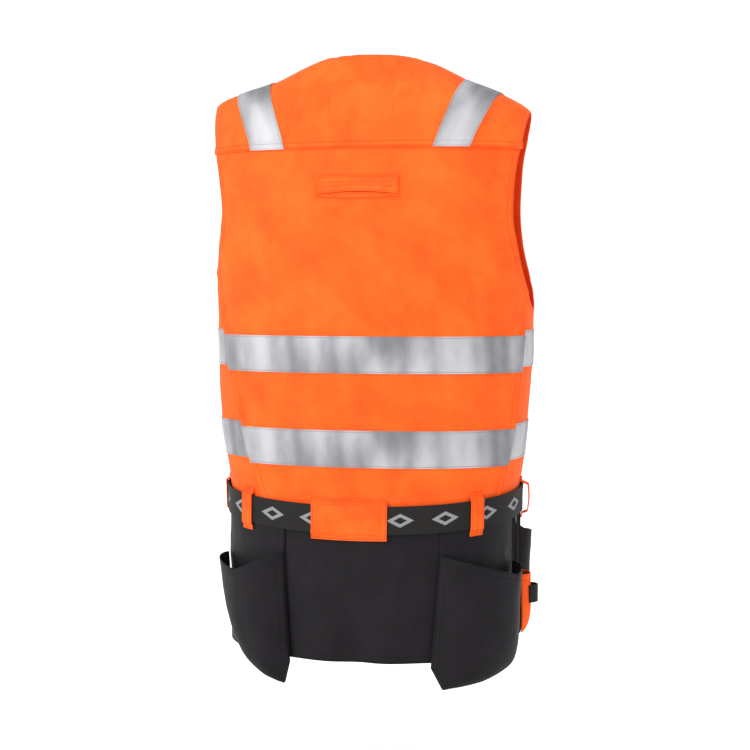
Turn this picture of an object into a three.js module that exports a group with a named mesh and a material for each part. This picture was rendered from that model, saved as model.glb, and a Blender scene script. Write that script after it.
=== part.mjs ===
// Utility work vest, held up as a wearer fills it, in millimetres.
// +Z is up, the front faces -Y and the wearer's left is +X.
// The origin lies midway between the two points where the shoulders meet the neck.
import * as THREE from 'three';

// Cloth and webbing
const CLOTH = 1.5;
const TAPE_THICK = 1.0;
const WEBBING = 2.0;
const SEAM_GAP = 0.4;
const LAY_GAP = 0.35;
const BOARD_EASE = 0.9;
const BELT_EASE = 0.7;

// Body of the vest
const VEST_LENGTH = 814;
const CHEST_HALF = 236;
const BACK_DEPTH = 139;
const FRONT_DEPTH = 134;
const FOLD_RISE = 5;

// Neck, shoulders and armholes
const NECK_HALF = 98;
const BACK_NECK_RISE = 10;
const V_NECK_DROP = 120;
const SHOULDER_HALF = 231;
const SHOULDER_LEAN = 9;
const SHOULDER_TUCK = 0.045;
const SHOULDER_TUCK_DROP = 210;
const ARMHOLE_DROP = 338;
const ARMHOLE_BACK_REACH = 66;
const ARMHOLE_FRONT_REACH = 76;
const ARMHOLE_SKEW = 1.3;
const ARMHOLE_ROUND = 0.55;
const YOKE_DROP = 117;

// Reflective tape
const TAPE_WIDTH = 50;
const BACK_UPPER_TAPE_DROP = 374;
const BACK_LOWER_TAPE_DROP = 501;
const FRONT_TAPE_LIFT = 7;
const SHOULDER_TAPE_AT_RIDGE = 166;
const SHOULDER_TAPE_AT_YOKE = 130;

// Belt and its loops
const BELT_WIDTH = 38;
const BELT_DROP = 603;
const BELT_SIDE_RISE = 14;
const BELT_FRONT_RISE = 7;
const LOOP_WIDTH = 19;
const LOOP_OVERHANG = 10;
const LOOP_EASE = 0.55;
const SIDE_LOOP_STAND = 8;
const WIDE_LOOP_WIDTH = 95;
const WIDE_LOOP_HEIGHT = 55;
const WIDE_LOOP_SHIFT = 6;
const BUCKLE_WIDTH = 62;
const BUCKLE_HEIGHT = 48;
const BUCKLE_THICK = 6;

// Slot in the back panel and its flap
const SLOT_WIDTH = 115;
const SLOT_DROP = 158;
const SLOT_HEIGHT = 30;
const SLOT_FLAP_HEIGHT = 21;
const SLOT_FLAP_BOW = 1.6;

// Skirt, holsters and tool pockets
const SKIRT_TURN = 74;
const FRONT_HEM_BELOW_BELT = 14;
const HOLSTER_DEPTH = 38;
const HOLSTER_CROWN = 7;
const HOLSTER_MOUTH_DROP = 668;
const HOLSTER_MOUTH_FALL = 30;
const HOLSTER_BOTTOM_DROP = 850;
const HOLSTER_CORNER_RISE = 32;
const HOLSTER_HANG = 4;
const TOOL_POCKET_TURN = 14;
const TOOL_POCKET_WIDTH_TURN = 16;
const TOOL_POCKET_DROP = 718;
const TOOL_POCKET_HEIGHT = 84;
const TOOL_POCKET_DEPTH = 14;
const TOOL_LOOP_WIDTH = 25;
const TOOL_LOOP_DROP = 735;
const TOOL_LOOP_STAND = 8;

// Zip
const ZIP_GAP_HALF = 4;
const ZIP_TAPE_HALF = 16;
const ZIP_CHAIN_HALF = 3;
const ZIP_CHAIN_THICK = 2.2;
const ZIP_SLIDER_LENGTH = 12;
const ZIP_PULL_LENGTH = 26;

// Sections of the body from the neck down: drop as a share of VEST_LENGTH, side of CHEST_HALF,
// back of BACK_DEPTH, front of FRONT_DEPTH, and how far the oval is squared at its corners.
const SECTIONS = [
  { drop: -0.0123, side: 0.297, back: 0.489, front: 0.336, square: 0 },
  { drop: 0, side: 0.415, back: 0.547, front: 0.463, square: 0 },
  { drop: 0.0135, side: 0.517, back: 0.576, front: 0.52, square: 0 },
  { drop: 0.0264, side: 0.614, back: 0.604, front: 0.56, square: 0.005 },
  { drop: 0.0455, side: 0.809, back: 0.647, front: 0.6, square: 0.012 },
  { drop: 0.0627, side: 0.941, back: 0.676, front: 0.63, square: 0.02 },
  { drop: 0.0725, side: 0.979, back: 0.691, front: 0.65, square: 0.025 },
  { drop: 0.1032, side: 0.988, back: 0.727, front: 0.725, square: 0.045 },
  { drop: 0.1437, side: 0.988, back: 0.763, front: 0.806, square: 0.055 },
  { drop: 0.2027, side: 0.99, back: 0.813, front: 0.896, square: 0.06 },
  { drop: 0.307, side: 0.985, back: 0.892, front: 0.985, square: 0.062 },
  { drop: 0.415, side: 0.957, back: 0.935, front: 1, square: 0.062 },
  { drop: 0.521, side: 0.945, back: 0.96, front: 0.985, square: 0.06 },
  { drop: 0.614, side: 0.92, back: 0.978, front: 0.955, square: 0.06 },
  { drop: 0.688, side: 0.894, back: 0.99, front: 0.95, square: 0.06 },
  { drop: 0.737, side: 0.873, back: 1, front: 0.955, square: 0.06 },
  { drop: 0.86, side: 0.869, back: 1.05, front: 1, square: 0.065 },
  { drop: 1, side: 0.873, back: 1.08, front: 1.03, square: 0.07 },
  { drop: 1.06, side: 0.875, back: 1.09, front: 1.04, square: 0.07 },
];

// Broad folds: turn in degrees from the wearer's left, lean in degrees over the fold's length,
// drop and tall as shares of VEST_LENGTH, wide in degrees, rise as a share of FOLD_RISE.
const FOLDS = [
  { turn: 38, lean: 10, drop: 0.33, tall: 0.1, wide: 7, rise: 0.3 },
  { turn: 52, lean: 14, drop: 0.36, tall: 0.12, wide: 8, rise: -0.55 },
  { turn: 132, lean: -12, drop: 0.34, tall: 0.12, wide: 8, rise: -0.6 },
  { turn: 146, lean: -8, drop: 0.32, tall: 0.1, wide: 6, rise: 0.4 },
  { turn: 72, lean: 6, drop: 0.56, tall: 0.09, wide: 9, rise: 0.5 },
  { turn: 108, lean: -7, drop: 0.57, tall: 0.1, wide: 9, rise: -0.5 },
  { turn: 20, lean: 6, drop: 0.6, tall: 0.09, wide: 9, rise: 0.6 },
  { turn: 160, lean: -6, drop: 0.6, tall: 0.09, wide: 9, rise: 0.7 },
  { turn: 78, lean: 3, drop: 0.96, tall: 0.1, wide: 9, rise: 0.9 },
  { turn: 92, lean: 0, drop: 0.97, tall: 0.1, wide: 7, rise: -0.9 },
  { turn: 104, lean: -3, drop: 0.96, tall: 0.1, wide: 8, rise: 0.8 },
  { turn: -60, lean: -8, drop: 0.35, tall: 0.12, wide: 9, rise: 0.6 },
  { turn: 240, lean: 8, drop: 0.35, tall: 0.12, wide: 9, rise: 0.6 },
];

// Side seams run straight from the armhole to the waist. The vest hangs a little turned, so left
// and right differ. Turns in degrees from the side towards the middle of the back.
const SIDE_SEAMS = {
  left: { top: 26, waist: 55 },
  right: { top: 18, waist: 31 },
};

// Where the loops stand on the belt: turn in degrees, and how far each is pulled off the belt.
const LOOPS = [
  { name: 'loop_back_left', turn: 45, stand: 0.1 },
  { name: 'loop_back_right', turn: 137, stand: 0.1 },
  { name: 'loop_side_left', turn: 10, stand: 0.25 },
  { name: 'loop_side_right', turn: 184, stand: 1 },
  { name: 'loop_front_left', turn: -47, stand: 0.1 },
  { name: 'loop_front_right', turn: -133, stand: 0.1 },
];

// Holsters: turns in degrees from the side, towards the back for the back pair and towards the
// front for the front pair. The face runs from its inner edge to the fold, the gusset from the
// fold to the outer turn. Low values hold at the bottom. The stands tell how far the fold is
// held off the board as shares of HOLSTER_DEPTH, and rise lifts the mouth.
const HOLSTERS = [
  {
    name: 'back_left', side: 1, half: 1, rise: 0, inner: 63, innerLow: 66.5,
    fold: 46, foldLow: 58, outer: 23.5, outerLow: 49, stand: 0.65, standLow: 0.56,
  },
  {
    name: 'back_right', side: -1, half: 1, rise: 0, inner: 57.5, innerLow: 61,
    fold: 28, foldLow: 43, outer: 18, outerLow: 21.5, stand: 0.65, standLow: 0.65,
  },
  {
    name: 'front_left', side: 1, half: -1, rise: 28, inner: 63, innerLow: 63,
    fold: 31, foldLow: 40, outer: 24, outerLow: 30, stand: 0.8, standLow: 0.75,
  },
  {
    name: 'front_right', side: -1, half: -1, rise: 28, inner: 63, innerLow: 63,
    fold: 31, foldLow: 40, outer: 24, outerLow: 30, stand: 0.8, standLow: 0.75,
  },
];

const orange = { color: 0xff7325, roughness: 0.85, metalness: 0 };
const charcoal = { color: 0x322d33, roughness: 0.9, metalness: 0 };
const silver = { color: 0xb8b8bd, roughness: 0.45, metalness: 0.2 };
const black = { color: 0x171717, roughness: 0.8, metalness: 0 };
const plastic = { color: 0x1c1c1e, roughness: 0.5, metalness: 0 };

const vest = new THREE.Group();
vest.name = 'work_vest';

function addPiece(name, geometry, finish) {
  const mesh = new THREE.Mesh(geometry, new THREE.MeshStandardMaterial(finish));
  mesh.name = name;
  vest.add(mesh);
}

const radians = THREE.MathUtils.degToRad;
const mix = THREE.MathUtils.lerp;

// A smooth curve through the rows of a table that never swings past them.
function readTable(rows, key, column, at) {
  let last = rows.length - 2;
  while (last > 0 && rows[last][key] > at) last -= 1;
  const slope = (k) => {
    const step = (n) => (rows[n + 1][column] - rows[n][column]) / (rows[n + 1][key] - rows[n][key]);
    if (k <= 0) return step(0);
    if (k >= rows.length - 1) return step(rows.length - 2);
    const before = step(k - 1);
    const after = step(k);
    return before * after <= 0 ? 0 : (2 * before * after) / (before + after);
  };
  const from = rows[last];
  const to = rows[last + 1];
  const span = to[key] - from[key];
  const t = THREE.MathUtils.clamp((at - from[key]) / span, 0, 1);
  const rise = t * t * (3 - 2 * t);
  const lead = t * (1 - t) * (1 - t) * span * slope(last);
  const tail = t * t * (t - 1) * span * slope(last + 1);
  return mix(from[column], to[column], rise) + lead + tail;
}

function sectionAt(level) {
  const drop = -level / VEST_LENGTH;
  return {
    side: CHEST_HALF * readTable(SECTIONS, 'drop', 'side', drop),
    back: BACK_DEPTH * readTable(SECTIONS, 'drop', 'back', drop),
    front: FRONT_DEPTH * readTable(SECTIONS, 'drop', 'front', drop),
    square: readTable(SECTIONS, 'drop', 'square', drop),
  };
}

function foldRise(angle, level) {
  let rise = 0;
  for (const fold of FOLDS) {
    const along = (-level / VEST_LENGTH - fold.drop) / fold.tall;
    const across = (THREE.MathUtils.radToDeg(angle) - fold.turn - fold.lean * along) / fold.wide;
    rise += fold.rise * Math.exp(-along * along - across * across);
  }
  const fromBelt = Math.abs(-level - BELT_DROP - BELT_WIDTH / 2);
  return FOLD_RISE * rise * THREE.MathUtils.smoothstep(fromBelt, BELT_WIDTH, 2.6 * BELT_WIDTH);
}

// The wearer's right shoulder hangs a little lower and further in than the left one.
function bodyPoint(angle, level) {
  const section = sectionAt(level);
  const corner = 1 + section.square * Math.sin(2 * angle) ** 2;
  const depth = Math.sin(angle) >= 0 ? section.back : section.front;
  const across = section.side * corner * Math.cos(angle);
  const tuck = THREE.MathUtils.smoothstep(level, -SHOULDER_TUCK_DROP, -YOKE_DROP);
  const lean = THREE.MathUtils.smoothstep(level, -YOKE_DROP, -0.4 * YOKE_DROP);
  return new THREE.Vector3(
    across < 0 ? across * (1 - SHOULDER_TUCK * tuck) : across,
    depth * corner * Math.sin(angle),
    level + SHOULDER_LEAN * lean * (across / CHEST_HALF) ** 3,
  );
}

function bodyNormal(angle, level) {
  const step = 0.5;
  const turn = radians(step);
  const across = bodyPoint(angle + turn, level).sub(bodyPoint(angle - turn, level));
  const up = bodyPoint(angle, level + step).sub(bodyPoint(angle, level - step));
  return across.cross(up).normalize();
}

// A point held off the cloth's inner face by the lift, along the body's own slope.
function offBody(angle, level, lift) {
  const rise = lift + foldRise(angle, level);
  return bodyPoint(angle, level).addScaledVector(bodyNormal(angle, level), rise);
}

// The turn round the body where a given distance from the middle is met at a level.
function angleAt(across, level, half) {
  const section = sectionAt(level);
  let low = 0;
  let high = Math.PI / 2;
  for (let round = 0; round < 40; round += 1) {
    const middle = (low + high) / 2;
    const corner = 1 + section.square * Math.sin(2 * middle) ** 2;
    if (section.side * corner * Math.cos(middle) > across) low = middle;
    else high = middle;
  }
  const depth = half > 0 ? section.back : section.front;
  return half * Math.max(low, Math.asin(SEAM_GAP / 2 / depth));
}

// The level of the shoulder's crest at a given distance from the middle.
function ridgeLevel(across) {
  let low = -VEST_LENGTH * 0.09;
  let high = 0;
  for (let round = 0; round < 40; round += 1) {
    const middle = (low + high) / 2;
    if (sectionAt(middle).side > across) low = middle;
    else high = middle;
  }
  return low;
}

const shoulderLevel = ridgeLevel(SHOULDER_HALF);

function armholeAngle(level, half) {
  const reach = half > 0 ? ARMHOLE_BACK_REACH : ARMHOLE_FRONT_REACH;
  const share = THREE.MathUtils.clamp((shoulderLevel - level) / (shoulderLevel + ARMHOLE_DROP), 0, 1);
  const edge = reach * Math.sin(Math.PI * share ** ARMHOLE_SKEW) ** ARMHOLE_ROUND;
  const section = sectionAt(level);
  const depth = half > 0 ? section.back : section.front;
  return half * Math.asin(edge / depth);
}

// The low stretch of the armhole's edge, read the other way: the level at a given turn.
function armholeLevel(angle) {
  const half = angle < 0 ? -1 : 1;
  let low = -ARMHOLE_DROP;
  let high = mix(-ARMHOLE_DROP, shoulderLevel, 0.4);
  for (let round = 0; round < 40; round += 1) {
    const middle = (low + high) / 2;
    if (Math.abs(armholeAngle(middle, half)) < Math.abs(angle)) low = middle;
    else high = middle;
  }
  return low;
}

// The side seam starts where the armhole's edge reaches its top turn.
function seamTopLevel(column) {
  return armholeLevel(radians(SIDE_SEAMS[column].top));
}

function seamAngle(level, column) {
  const seam = SIDE_SEAMS[column];
  const share = (seamTopLevel(column) - level) / (seamTopLevel(column) + BELT_DROP + BELT_WIDTH / 2);
  return radians(mix(seam.top, seam.waist, share));
}

// The belt climbs from the middle of the back to the sides, and a little more to the front.
function beltTop(angle) {
  const turned = (1 - Math.sin(angle)) / 2;
  return -BELT_DROP + BELT_SIDE_RISE * Math.sin(Math.PI * Math.min(turned, 0.5)) + BELT_FRONT_RISE * turned;
}

function waistLevel(angle) {
  return beltTop(angle) - BELT_WIDTH / 2;
}

// A wall of cloth over a grid: point(i, j, outer) gives its corners and keep(i, j) its cells.
// Each kept cell gets an outer and an inner face, and each open edge of the grid a rim.
function wall(columns, rows, point, keep = () => true) {
  const positions = [];
  const corner = (i, j, outer) => (outer * (rows + 1) + j) * (columns + 1) + i;
  for (let outer = 0; outer < 2; outer += 1) {
    for (let j = 0; j <= rows; j += 1) {
      for (let i = 0; i <= columns; i += 1) positions.push(point(i, j, outer));
    }
  }
  const has = (i, j) => i >= 0 && j >= 0 && i < columns && j < rows && keep(i, j);
  const faces = [];
  const quad = (a, b, c, d) => faces.push([a, b, c], [a, c, d]);
  for (let j = 0; j < rows; j += 1) {
    for (let i = 0; i < columns; i += 1) {
      if (!has(i, j)) continue;
      const ring = [[i, j], [i + 1, j], [i + 1, j + 1], [i, j + 1]];
      const beside = [[i, j - 1], [i + 1, j], [i, j + 1], [i - 1, j]];
      quad(...ring.map(([x, y]) => corner(x, y, 1)));
      const [a, b, c, d] = ring.map(([x, y]) => corner(x, y, 0));
      faces.push([a, c, b], [a, d, c]);
      ring.forEach((from, side) => {
        if (has(...beside[side])) return;
        const to = ring[(side + 1) % 4];
        quad(corner(...to, 1), corner(...from, 1), corner(...from, 0), corner(...to, 0));
      });
    }
  }
  return closedGeometry(positions, faces);
}

// Unused corners are left out, and a body that came out inside out is turned.
function closedGeometry(positions, faces) {
  let volume = 0;
  for (const [a, b, c] of faces) {
    volume += positions[a].dot(positions[b].clone().cross(positions[c]));
  }
  const order = volume < 0 ? faces.map(([a, b, c]) => [a, c, b]) : faces;
  const places = new Map();
  const kept = [];
  const index = order.flat().map((corner) => {
    if (!places.has(corner)) {
      places.set(corner, kept.length / 3);
      kept.push(...positions[corner].toArray());
    }
    return places.get(corner);
  });
  const geometry = new THREE.BufferGeometry();
  geometry.setAttribute('position', new THREE.Float32BufferAttribute(kept, 3));
  geometry.setIndex(index);
  geometry.computeVertexNormals();
  return geometry;
}

// A wall laid on the body: spot(i, j) gives angle and level, lift how far its inner face stands off.
function clothOn(spot, columns, rows, lift, thick, keep) {
  const height = typeof lift === 'function' ? lift : () => lift;
  const point = (i, j, outer) => {
    const { angle, level } = spot(i, j);
    return offBody(angle, level, height(i, j) + outer * thick);
  };
  return wall(columns, rows, point, keep);
}

// The same on the other side of the body's middle.
function mirrored(spot, side) {
  return (i, j) => {
    const { angle, level } = spot(i, j);
    return { angle: side > 0 ? angle : Math.PI - angle, level };
  };
}

function shifted(spot, column, row) {
  return (i, j) => spot(i + column, j + row);
}

// Spreads whole steps between named stops: stops[k] steps lead from values[k] to values[k + 1].
function alongStops(values, steps, index) {
  let k = 0;
  let done = 0;
  while (k < steps.length - 1 && index > done + steps[k]) {
    done += steps[k];
    k += 1;
  }
  return mix(values[k], values[k + 1], (index - done) / steps[k]);
}

const tapeLift = CLOTH + LAY_GAP;
const halfTape = TAPE_WIDTH / 2;

// Back yoke, from its seam up to the neck and the crest of the shoulders
const YOKE_STEPS = [5, 2, 3, 2];
const YOKE_ROWS = 8;
const yokeSide = YOKE_STEPS.reduce((sum, step) => sum + step, 0);

function neckSpot(share) {
  const angle = mix(Math.PI / 2, 0, share);
  const level = BACK_NECK_RISE * Math.sin(angle) ** 0.45;
  return { across: bodyPoint(angle, level).x, level };
}

function yokeSpot(i, j) {
  const side = i < yokeSide ? 1 : -1;
  const out = Math.abs(i - yokeSide);
  const edge = bodyPoint(armholeAngle(-YOKE_DROP, 1), -YOKE_DROP).x;
  const atYoke = SHOULDER_TAPE_AT_YOKE;
  const low = [0, NECK_HALF * 0.82, atYoke - halfTape, atYoke + halfTape, edge];
  const atRidge = SHOULDER_TAPE_AT_RIDGE;
  const high = [0, NECK_HALF, atRidge - halfTape, atRidge + halfTape, SHOULDER_HALF];
  let top = { across: alongStops(high, YOKE_STEPS, out) };
  top.level = ridgeLevel(top.across);
  if (out <= YOKE_STEPS[0]) top = neckSpot(out / YOKE_STEPS[0]);
  const climb = 1 - (1 - j / YOKE_ROWS) ** 1.8;
  const across = mix(alongStops(low, YOKE_STEPS, out), top.across, climb);
  const level = mix(-YOKE_DROP + SEAM_GAP / 2, top.level, climb);
  const angle = angleAt(across, level, 1);
  return { angle: side > 0 ? angle : Math.PI - angle, level };
}

addPiece('back_yoke', clothOn(yokeSpot, 2 * yokeSide, YOKE_ROWS, 0, CLOTH), orange);

const yokeTapeStart = YOKE_STEPS[0] + YOKE_STEPS[1];
for (const [name, first] of [
  ['shoulder_tape_back_left', yokeSide - yokeTapeStart - YOKE_STEPS[2]],
  ['shoulder_tape_back_right', yokeSide + yokeTapeStart],
]) {
  const spot = shifted(yokeSpot, first, 0);
  addPiece(name, clothOn(spot, YOKE_STEPS[2], YOKE_ROWS, tapeLift, TAPE_THICK), silver);
}

// Back panel, from the waist seam up to the yoke seam
const BACK_COLUMNS = 24;
const BACK_SIDE_ROWS = 2;
const BACK_RISE_ROWS = 5;
const aboveBelt = -BELT_DROP - BELT_WIDTH / 2 + BELT_WIDTH;
const lowBack = [
  aboveBelt,
  -BACK_LOWER_TAPE_DROP - TAPE_WIDTH,
  -BACK_LOWER_TAPE_DROP,
  mix(-BACK_LOWER_TAPE_DROP, -BACK_UPPER_TAPE_DROP - TAPE_WIDTH, 0.5),
  -BACK_UPPER_TAPE_DROP - TAPE_WIDTH,
  -BACK_UPPER_TAPE_DROP,
];
const backRows = lowBack.length + BACK_SIDE_ROWS + BACK_RISE_ROWS;

function backLevel(share, j) {
  if (j <= lowBack.length) return lowBack[j - 1];
  const seamTop = mix(seamTopLevel('left'), seamTopLevel('right'), share);
  const above = j - lowBack.length;
  if (above <= BACK_SIDE_ROWS) return mix(lowBack.at(-1), seamTop, above / BACK_SIDE_ROWS);
  return mix(seamTop, -YOKE_DROP - SEAM_GAP / 2, (above - BACK_SIDE_ROWS) / BACK_RISE_ROWS);
}

function backEdge(level, column) {
  if (level > seamTopLevel(column) + 0.5) return armholeAngle(level, 1);
  return seamAngle(level, column) + SEAM_GAP / 2 / sectionAt(level).back;
}

function backSpot(i, j) {
  const share = i / BACK_COLUMNS;
  const at = (left, right) => mix(backEdge(left, 'left'), Math.PI - backEdge(right, 'right'), share);
  if (j > 0) return { angle: at(backLevel(0, j), backLevel(1, j)), level: backLevel(share, j) };
  const middle = -BELT_DROP - BELT_WIDTH / 2;
  const angle = at(middle, middle);
  return { angle, level: waistLevel(angle) + SEAM_GAP / 2 };
}

addPiece('back_panel', clothOn(backSpot, BACK_COLUMNS, backRows, 0, CLOTH), orange);
const lowerTapeRow = 2;
const upperTapeRow = 5;
for (const [name, row] of [['tape_back_lower', lowerTapeRow], ['tape_back_upper', upperTapeRow]]) {
  addPiece(name, clothOn(shifted(backSpot, 0, row), BACK_COLUMNS, 1, tapeLift, TAPE_THICK), silver);
}

// Flap over the slot in the back panel, and the lip under its lower edge
function slotSpot(top, ends, middle) {
  const columns = 10;
  const rows = 3;
  return {
    columns,
    rows,
    spot(i, j) {
      const share = i / columns;
      const arch = Math.sin(Math.PI * share);
      const bottom = mix(ends, middle, arch);
      const level = -SLOT_DROP - mix(bottom, top(arch), j / rows);
      return { angle: Math.PI / 2 + ((share - 0.5) * SLOT_WIDTH) / sectionAt(level).side, level };
    },
  };
}

const flap = slotSpot(() => 0, SLOT_FLAP_HEIGHT + 4, SLOT_FLAP_HEIGHT);
const flapLift = (i, j) => {
  const bow = Math.sin((Math.PI * i) / flap.columns) * (1 - j / flap.rows);
  return CLOTH + LAY_GAP + SLOT_FLAP_BOW * bow;
};
addPiece('back_slot_flap', clothOn(flap.spot, flap.columns, flap.rows, flapLift, CLOTH), orange);
const lipTop = (arch) => mix(SLOT_FLAP_HEIGHT + 4, SLOT_FLAP_HEIGHT, arch) + 1;
const lip = slotSpot(lipTop, SLOT_HEIGHT - 2, SLOT_HEIGHT);
addPiece('back_slot_lip', clothOn(lip.spot, lip.columns, 1, CLOTH + LAY_GAP, CLOTH), orange);

// Front panels, each one piece from the zip round the side to the side seam
const FRONT_STEPS = [4, 2, 2, 9];
const frontMain = FRONT_STEPS[0] + FRONT_STEPS[1] + FRONT_STEPS[2];
const frontColumns = frontMain + FRONT_STEPS[3];
const frontUpperTape = -BACK_UPPER_TAPE_DROP + FRONT_TAPE_LIFT;
const frontLowerTape = -BACK_LOWER_TAPE_DROP + FRONT_TAPE_LIFT;
const underarmTurn = radians(-31);
const underarmLevel = armholeLevel(underarmTurn);
const lowFront = [
  aboveBelt,
  frontLowerTape - TAPE_WIDTH,
  frontLowerTape,
  mix(frontLowerTape, frontUpperTape - TAPE_WIDTH, 0.5),
  frontUpperTape - TAPE_WIDTH,
  frontUpperTape,
];
const FRONT_SIDE_ROWS = 2;
const FRONT_RISE_ROWS = 4;
const FRONT_CREST_ROWS = 6;
const tapeTopRow = lowFront.length + 1;
const underarmRow = tapeTopRow + FRONT_SIDE_ROWS;
const vNeckRow = underarmRow + FRONT_RISE_ROWS;
const frontRows = vNeckRow + FRONT_CREST_ROWS;
const vNeckLevel = -V_NECK_DROP;

function frontStops(level) {
  const shoulder = angleAt(SHOULDER_TAPE_AT_YOKE - halfTape - 3, level, -1);
  const shoulderEnd = angleAt(SHOULDER_TAPE_AT_YOKE + halfTape - 3, level, -1);
  const main = level > underarmLevel ? armholeAngle(level, -1) : underarmTurn;
  return [angleAt(ZIP_GAP_HALF, level, -1), shoulder, shoulderEnd, main];
}

function crestSpot(i, j) {
  const atRidge = SHOULDER_TAPE_AT_RIDGE;
  const high = [NECK_HALF, atRidge - halfTape, atRidge + halfTape, SHOULDER_HALF];
  const climb = 1 - (1 - (j - vNeckRow) / FRONT_CREST_ROWS) ** 1.8;
  const stops = frontStops(vNeckLevel);
  const lowAngle = alongStops(stops, FRONT_STEPS.slice(0, 3), i);
  const low = bodyPoint(lowAngle, vNeckLevel).x;
  const top = alongStops(high, FRONT_STEPS.slice(0, 3), i);
  const level = mix(vNeckLevel, ridgeLevel(top), climb);
  return { angle: angleAt(mix(low, top, climb), level, -1), level };
}

function frontSpot(column) {
  return (i, j) => {
    if (j > vNeckRow) return crestSpot(Math.min(i, frontMain), j);
    const beyond = Math.max(0, i - frontMain) / FRONT_STEPS[3];
    const turn = (level) => {
      if (i <= frontMain) return alongStops(frontStops(level), FRONT_STEPS.slice(0, 3), i);
      const gap = SEAM_GAP / 2 / sectionAt(level).back;
      return mix(underarmTurn, seamAngle(level, column) - gap, beyond);
    };
    if (j === 0 || j === 1) {
      const angle = turn(-BELT_DROP - BELT_WIDTH / 2);
      const hem = j === 0 ? BELT_WIDTH / 2 + FRONT_HEM_BELOW_BELT : -SEAM_GAP / 2;
      return { angle, level: waistLevel(angle) - hem };
    }
    if (j <= tapeTopRow) return { angle: turn(lowFront[j - 2]), level: lowFront[j - 2] };
    if (j <= underarmRow) {
      const topTurn = mix(underarmTurn, radians(SIDE_SEAMS[column].top), beyond);
      const top = i <= frontMain ? underarmLevel : armholeLevel(topTurn);
      const level = mix(frontUpperTape, top, (j - tapeTopRow) / FRONT_SIDE_ROWS);
      return { angle: turn(level), level };
    }
    const level = mix(underarmLevel, vNeckLevel, (j - underarmRow) / FRONT_RISE_ROWS);
    return { angle: turn(level), level };
  };
}

const inFront = (i, j) => (j > 0 || i < FRONT_STEPS[0]) && (i < frontMain || j < underarmRow);
for (const [column, side] of [['left', 1], ['right', -1]]) {
  const spot = mirrored(frontSpot(column), side);
  addPiece(`front_panel_${column}`, clothOn(spot, frontColumns, frontRows, 0, CLOTH, inFront), orange);
  const band = (row) => clothOn(shifted(spot, 0, row), frontColumns, 1, tapeLift, TAPE_THICK);
  addPiece(`tape_front_lower_${column}`, band(3), silver);
  addPiece(`tape_front_upper_${column}`, band(tapeTopRow - 1), silver);
  const start = FRONT_STEPS[0];
  const strip = (i, j) => {
    const place = spot(i + start, j + tapeTopRow);
    return j === 0 ? { angle: place.angle, level: place.level + SEAM_GAP } : place;
  };
  const height = frontRows - tapeTopRow;
  const tape = clothOn(strip, FRONT_STEPS[1], height, tapeLift, TAPE_THICK);
  addPiece(`shoulder_tape_front_${column}`, tape, silver);
}

// Skirt below the waist seam, across the back
const SKIRT_COLUMNS = 16;
const SKIRT_ROWS = 7;
const skirtHalf = radians(SKIRT_TURN);

function skirtSpot(i, j) {
  const angle = mix(Math.PI / 2 - skirtHalf, Math.PI / 2 + skirtHalf, i / SKIRT_COLUMNS);
  const hem = -VEST_LENGTH + 6 * Math.cos(angle) ** 2;
  return { angle, level: mix(hem, waistLevel(angle) - SEAM_GAP / 2, j / SKIRT_ROWS) };
}

addPiece('skirt_back', clothOn(skirtSpot, SKIRT_COLUMNS, SKIRT_ROWS, 0, CLOTH), charcoal);

// Holsters: a flat board hung from the waist seam, and a bag standing out from it
const BAG_FACE = 7;
const BAG_GUSSET = 4;
const BAG_ROWS = 7;
const BOARD_ROWS = 3;
const boardLift = CLOTH + BOARD_EASE;
const bagLift = boardLift + CLOTH + 2 * LAY_GAP;

// The holsters hang freely, so they stand off the skirt more towards their bottom.
function hang(level) {
  const waist = -BELT_DROP - BELT_WIDTH;
  return HOLSTER_HANG * THREE.MathUtils.smoothstep(waist - level, 0, HOLSTER_BOTTOM_DROP + waist);
}

function holsterShape(holster) {
  const bagColumns = BAG_FACE + BAG_GUSSET;
  const turns = (share) => [
    radians(mix(holster.innerLow, holster.inner, share)),
    radians(mix(holster.foldLow, holster.fold, share)),
    radians(mix(holster.outerLow, holster.outer, share)),
  ];
  const place = (across, up) => {
    const share = THREE.MathUtils.clamp(up, 0, 1);
    const turn = alongStops(turns(share), [BAG_FACE, BAG_GUSSET], across);
    const face = Math.min(1, across / BAG_FACE);
    const wrap = Math.max(0, across - BAG_FACE) / BAG_GUSSET;
    const fall = HOLSTER_MOUTH_FALL * (face - 0.4 * wrap);
    const mouth = -HOLSTER_MOUTH_DROP - fall + holster.rise;
    const chamfer = Math.max(0, 1 - across / 1.6) + 0.6 * wrap + 0.3 * face;
    const bottom = -HOLSTER_BOTTOM_DROP + HOLSTER_CORNER_RISE * chamfer;
    const angle = holster.side > 0 ? holster.half * turn : Math.PI - holster.half * turn;
    const stand = HOLSTER_DEPTH * mix(holster.standLow, holster.stand, share);
    return { angle, bottom, mouth, face, wrap, stand };
  };
  return { bagColumns, place };
}

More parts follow.
